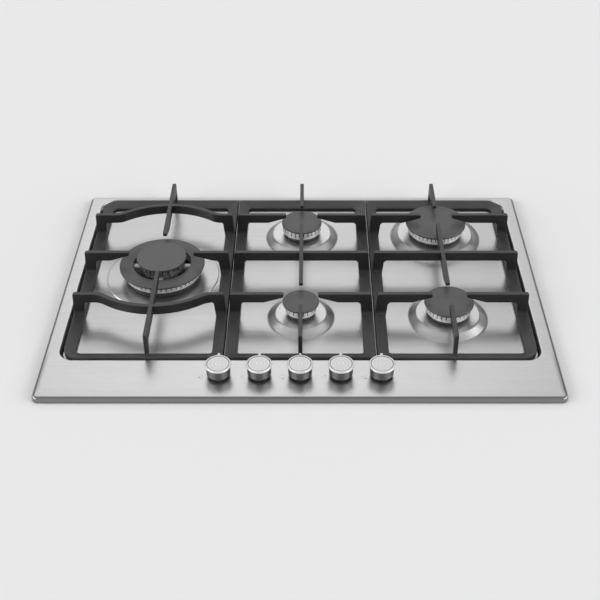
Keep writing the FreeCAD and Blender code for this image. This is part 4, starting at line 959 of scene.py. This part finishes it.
# the wok burner: a ring of flame round a centre burner, joined by four bridges
wok = {
    "ringOuter": 62.0, "ringInner": 48.0, "ringTop": 25.0, "ringFloor": 10.0, "centreRadius": 36.0,
    "centreTop": 38.0, "seat": 3.8, "ringPorts": 48, "centrePorts": 24, "ringWell": 4.0, "ringWall": 2.5,
    "centreWell": 6.0, "centreFoot": 3.0, "centreChamfer": 2.0, "shadeRise": 8.0, "bridgeWidth": 10.0,
    "bridgeTop": 24.0, "bridgeLap": 1.2, "bridges": 4, "neck": 27.0, "bandFoot": 13.5, "recess": 2.0,
    "capInner": 45.6, "capRound": 1.0, "spigotInset": 2.9, "steps": 128,
}


def buildWokCrown():
    w, c = wok, crown
    centre = centreOf("crown_wok")
    ringShelf, centreShelf = w["ringTop"] - c["portDepth"], w["centreTop"] - c["portDepth"]
    ro, ri, rc, t = w["ringOuter"], w["ringInner"], w["centreRadius"], c["wall"]
    seat = w["seat"] + c["seatGap"]
    lip = w["seat"] + c["lip"]
    bm = bmesh.new()
    lathe(bm, [(ri, w["ringFloor"], 0.6), (ro - t, w["ringFloor"], 0), (ro - t, seat, 0),
               (ro - w["recess"], seat, 0.4), (ro - w["recess"], w["bandFoot"] - c["bandRise"], 0.4),
               (ro, w["bandFoot"], c["bandRound"]), (ro, ringShelf, 0), (ro - t, ringShelf, 0),
               (ro - t, ringShelf - w["ringWell"], 0), (ri + w["ringWall"], ringShelf - w["ringWell"], 0),
               (ri + w["ringWall"], w["ringTop"], 0.4), (ri, w["ringTop"], 0.6)],
          4, centre, w["steps"], True)
    lathe(bm, [(0, 0.0, 0), (w["neck"], 0.0, 0.5), (w["neck"], lip, 0), (rc - w["centreChamfer"], lip, 1.0),
               (rc, lip + w["centreFoot"], 1.0), (rc, centreShelf, 0), (rc - t, centreShelf, 0),
               (rc - t, centreShelf - w["centreWell"], 0), (0, centreShelf - w["centreWell"], 0)],
          4, centre)
    # painted shade: the ring's wall below its band and the centre burner's foot take the near-black
    # casting; the centre above that takes the darker centre casting
    for face in bm.faces:
        middle = face.calc_center_median()
        z = middle.z / mm
        out = (middle.xy - centre.xy).length / mm
        if (out > ri and z < w["bandFoot"] - c["bandRound"]) or (out < rc + 1 and z < lip + w["shadeRise"]):
            face.material_index = 1
        elif out < rc + 1:
            face.material_index = 2
    addBlocks(bm, centre, ro, t, w["ringPorts"], ringShelf, w["ringTop"], 0)
    addBlocks(bm, centre, rc, t, w["centrePorts"], centreShelf, w["centreTop"], 2)
    bridge = bmesh.new()
    half = w["bridgeWidth"] / 2
    section = roundedPath([(-half, w["ringFloor"], 1.0), (half, w["ringFloor"], 1.0),
                           (half, w["bridgeTop"], 2.5), (-half, w["bridgeTop"], 2.5)], 4)
    ends = [addRing(bridge, [(x * mm, p.x * mm, p.y * mm) for p in section])
            for x in (rc - w["centreChamfer"], ri + w["bridgeLap"])]
    joinRings(bridge, *ends)
    for end in ends:
        bridge.faces.new(end)
    addMesh(bm, roundCopies(bridge, w["bridges"], centre, "castAluminium"), 0)
    piece = makePiece("crown_wok_skin", bm, ["castAluminium", "paintedShadeCasting", "darkerCentreCasting"])
    place(piece, "crown_wok", "cast_aluminium", "crown_wok")


def buildWokRingCap():
    w, c = wok, cap
    low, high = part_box("cap_wok_ring")
    outer, inner = radiusOf("cap_wok_ring") / mm, w["capInner"]
    spigotIn, spigotOut = w["ringInner"] + w["spigotInset"], w["ringOuter"] - crown["wall"] - c["spigotGap"]
    under, foot, top = w["ringTop"], low.z / mm, high.z / mm
    bm = bmesh.new()
    lathe(bm, [(inner, under, 0.4), (spigotIn, under, 0), (spigotIn, foot, c["spigotEdge"]),
               (spigotOut, foot, c["spigotEdge"]), (spigotOut, under, 0), (outer, under, c["underEdge"]),
               (outer, top, c["edge"]), (inner, top, w["capRound"])],
          5, centreOf("cap_wok_ring"), w["steps"], True)
    finishCap("cap_wok_ring", bm, top)


for name in burnerNames:
    buildCap(name, radiusOf("crown_" + name) / mm)
    buildCrown(name)
buildWokCrown()
buildWokRingCap()
buildCap("wok_centre", wok["centreRadius"])
print("burners made")


# knobs: a spun top with a rounded lip over a satin side, and a small pointer at the back; the side and the
# top's groove are a darker copy of the top's metal, painted shade, and the lip's outer band is pale and
# part diffuse, a painted highlight
knob = {
    "radius": 18.8, "baseRadius": 17.0, "neckRadius": 17.3, "lip": 3.4, "lipRound": 1.65, "neckDrop": 0.5,
    "baseRound": 1.1, "wall": 2.0, "ceiling": 7.0, "dish": 0.4, "dishEdge": 2.6, "dishFoot": 2.9,
    "highlightEdge": 2.8, "grooveRadius": 15.2, "grooveWidth": 0.9, "grooveDepth": 0.8, "grooveDraft": 0.1,
    "tabReach": 3.2, "tabSunk": 0.6, "tabWidth": 4.6, "tabTip": 0.55, "tabHeight": 2.2, "tabRise": 0.25,
}
topLook = {"ringScale": 1500.0, "broadScale": 420.0, "dark": 0.50, "light": 0.74, "roughness": 0.30,
           "ringStrength": 0.35, "ringDepth": 0.0001}
# the side's metal: a darker copy of the top's, painted shade
shadedSideLook = {"ringScale": 500.0, "broadScale": 60.0, "dark": 0.16, "light": 0.24, "roughness": 0.34,
            "ringStrength": 0.1, "ringDepth": 0.0001}


def buildKnob(name):
    k = knob
    low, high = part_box("knob_" + name)
    r = k["radius"]
    x, y = (low.x + high.x) / 2, low.y + r * mm
    base, top = low.z / mm, high.z / mm
    face = top - k["dish"]
    pit = face - k["grooveDepth"]
    inside = k["baseRadius"] - k["wall"]
    g0, g1 = k["grooveRadius"], k["grooveRadius"] + k["grooveWidth"]
    bm = bmesh.new()
    lathe(bm, [(0, top - k["ceiling"], 0), (inside, top - k["ceiling"], 0), (inside, base, 0.2),
               (k["baseRadius"], base, k["baseRound"]),
               (k["neckRadius"], top - k["lip"] - k["neckDrop"], 0.4), (r, top - k["lip"], k["lipRound"]),
               (r, top, k["lipRound"]), (r - k["dishEdge"], top, 0.3),
               (r - k["dishFoot"], face, 0.2), (g1, face, 0), (g1 - k["grooveDraft"], pit, 0),
               (g0 + k["grooveDraft"], pit, 0), (g0, face, 0), (0, face, 0)], 6, (x, y))
    for f in bm.faces:
        middle = f.calc_center_median()
        out = (middle.xy - Vector((x, y))).length / mm
        # painted shade: the side and the groove take the darker side metal; painted highlight: the lip's
        # outer band takes the pale lip finish
        if middle.z < (top - k["lip"]) * mm or g0 < out < g1:
            f.material_index = 1
        elif out > r - k["highlightEdge"]:
            f.material_index = 2
    half, back, tip = k["tabWidth"] / 2, r - k["tabSunk"], r + k["tabReach"]
    tab = [(-half, back), (half, back), (half * k["tabTip"], tip), (-half * k["tabTip"], tip)]
    lower, upper = [addRing(bm, [(x + a * mm, y + b * mm, z * mm) for a, b in tab])
                    for z in (face - k["tabHeight"], face + k["tabRise"])]
    joinRings(bm, lower, upper)
    bm.faces.new(lower)
    bm.faces.new(upper)
    for part, look in (("knobTop_", topLook), ("knobShadedSide_", shadedSideLook)):
        newMaterial(part + name, turnedMetal, {**look, "centre": (x, y, top * mm)})
    piece = makePiece("knob_" + name + "_skin", bm,
                      ["knobTop_" + name, "knobShadedSide_" + name, "paleLipHighlight"], 38.0)
    place(piece, "knob_" + name, "spun_knob", "knob_" + name)


for name in tapNames:
    buildKnob(name)
print("knobs made")


# printed dots left of each knob: the burners' layout, with the knob's own burner larger
mark = {
    "left": 25.0, "front": 5.0, "pitch": 2.6, "dot": 0.5, "ownDot": 1.0, "thick": 0.06, "sunk": 0.02,
    "sides": 12,
    "layout": {"wok": (-1, 0), "rear_centre": (0, 1), "front_centre": (0, -1), "rear_right": (1, 1),
               "front_right": (1, -1)},
}


# a thin disc at every point, as wide as the point's own radius says
def dotTree():
    g, given = newTree("printedDots", {"Points": "Geometry", "Sides": "Int", "Thickness": "Float",
                                       "Finish": "Material"})
    points = g.node("GeometryNodeMeshToPoints", {}, {"Mesh": given["Points"]})
    disc = g.node("GeometryNodeMeshCylinder", {}, {
        "Vertices": given["Sides"], "Radius": 1.0, "Depth": given["Thickness"]})
    width = g.node("GeometryNodeInputNamedAttribute", {"data_type": "FLOAT"}, {"Name": "dotRadius"})
    size = g.node("ShaderNodeCombineXYZ", {}, {"X": width, "Y": width, "Z": 1.0})
    return endTree(g, given["Finish"], {"Points": points, "Instance": disc, "Scale": size})


def buildMarks():
    m = mark
    surface = bpy.data.objects["hobPlate"]
    bpy.context.view_layer.update()
    places, radii = [], []
    for own in tapNames:
        x, y = centreOf("tap_plug_" + own)[:2]
        for burner, (across, along) in m["layout"].items():
            above = Vector((x + (across * m["pitch"] - m["left"]) * mm,
                            y + (along * m["pitch"] - m["front"]) * mm, cadHigh[2]))
            point = surface.ray_cast(above, Vector((0, 0, -1)))[1]
            places.append(point + Vector((0, 0, (m["thick"] / 2 - m["sunk"]) * mm)))
            radii.append((m["ownDot"] if burner == own else m["dot"]) * mm)
    mesh = bpy.data.meshes.new("dotPoints")
    mesh.from_pydata(places, [], [])
    mesh.attributes.new("dotRadius", "FLOAT", "POINT").data.foreach_set("value", radii)
    dots = throughTree(dotTree(), mesh, {
        "Sides": m["sides"], "Thickness": m["thick"] * mm, "Finish": finishes["printInk"]})
    place(finishPiece("printedDots", dots, 35.0), "hob", "black_plastic")


buildMarks()
print("marks made")


# the camera, the floor and the light
camera = {
    "place": (0.01513, -1.30624, 1.00359), "tilt": 51.93, "lens": 62.053, "shiftX": -0.01795,
    "sensor": 36.0,
}
# the sky's level by direction: dim behind the camera, a bright bank at the back, a wing at each side
# each row of bank and wings: along what, from where to where, and the share before and after
light = {
    "floor": 0.875, "floorSize": 9.0, "horizon": 0.9, "front": 0.48, "back": 1.42, "wing": 3.8, "lean": 0.9,
    "turn": (-0.10, 0.45), "horizonBand": (0.09, 0.17),
    "bank": (("x", 0.05, 0.30, 1.0, 0.66), ("x", -0.34, -0.05, 0.92, 1.0), ("aside", 0.27, 0.44, 1.0, 0.3),
             ("z", 0.66, 0.80, 1.0, 0.55), ("z", 0.44, 0.66, 0.6, 1.0)),
    "wings": (("aside", 0.42, 0.56, 0.0, 1.0), ("z", 0.10, 0.24, 0.0, 1.0), ("slope", 0.48, 0.66, 1.0, 0.0),
              ("z", 0.52, 0.64, 1.0, 0.0), ("y", -0.90, -0.66, 0.0, 1.0)),
}

cameraData = bpy.data.cameras.new("camera")
cameraData.sensor_width = camera["sensor"]
cameraData.lens = camera["lens"]
cameraData.shift_x = camera["shiftX"]
cameraObject = addObject("camera", cameraData)
cameraObject.location = camera["place"]
cameraObject.rotation_euler = (math.radians(camera["tilt"]), 0.0, 0.0)
scene.camera = cameraObject


def buildFloor():
    size = light["floorSize"]
    mesh = bpy.data.meshes.new("floor")
    corners = [(-size, -size, 0), (size, -size, 0), (size, size, 0), (-size, size, 0)]
    mesh.from_pydata(corners, [], [(0, 1, 2, 3)])
    mesh.materials.append(newMaterial("floorPaint", lambda g, level: {"Color": grey(level)}, light["floor"],
                                      "ShaderNodeBsdfDiffuse"))
    floor = addObject("floor", mesh)


def buildWorld():
    s = light
    world = bpy.data.worlds.new("studio")
    scene.world = world
    world.use_nodes = True
    g = Graph(world.node_tree)
    x, y, z = g.axes(g.node("ShaderNodeTexCoord", output="Generated"))
    ways = {"x": x, "y": y, "z": z, "aside": g.absolute(x), "slope": y + z * s["lean"]}

    def shaped(level, rows):
        for way, low, high, before, after in rows:
            level = level * g.smooth(ways[way], low, high, before, after)
        return level

    level = s["front"] + (shaped(s["back"], s["bank"]) - s["front"]) * g.smooth(y, *s["turn"])
    level = level + shaped(s["wing"], s["wings"])
    level = level + (s["horizon"] - level) * g.smooth(z, *s["horizonBand"], 1.0, 0.0)
    sky = g.node("ShaderNodeBackground", {}, {"Color": (1, 1, 1, 1), "Strength": level})
    g.node("ShaderNodeOutputWorld", {}, {"Surface": sky})


buildFloor()
buildWorld()
scene.view_settings.view_transform = "Standard"
print("camera, floor and light made")
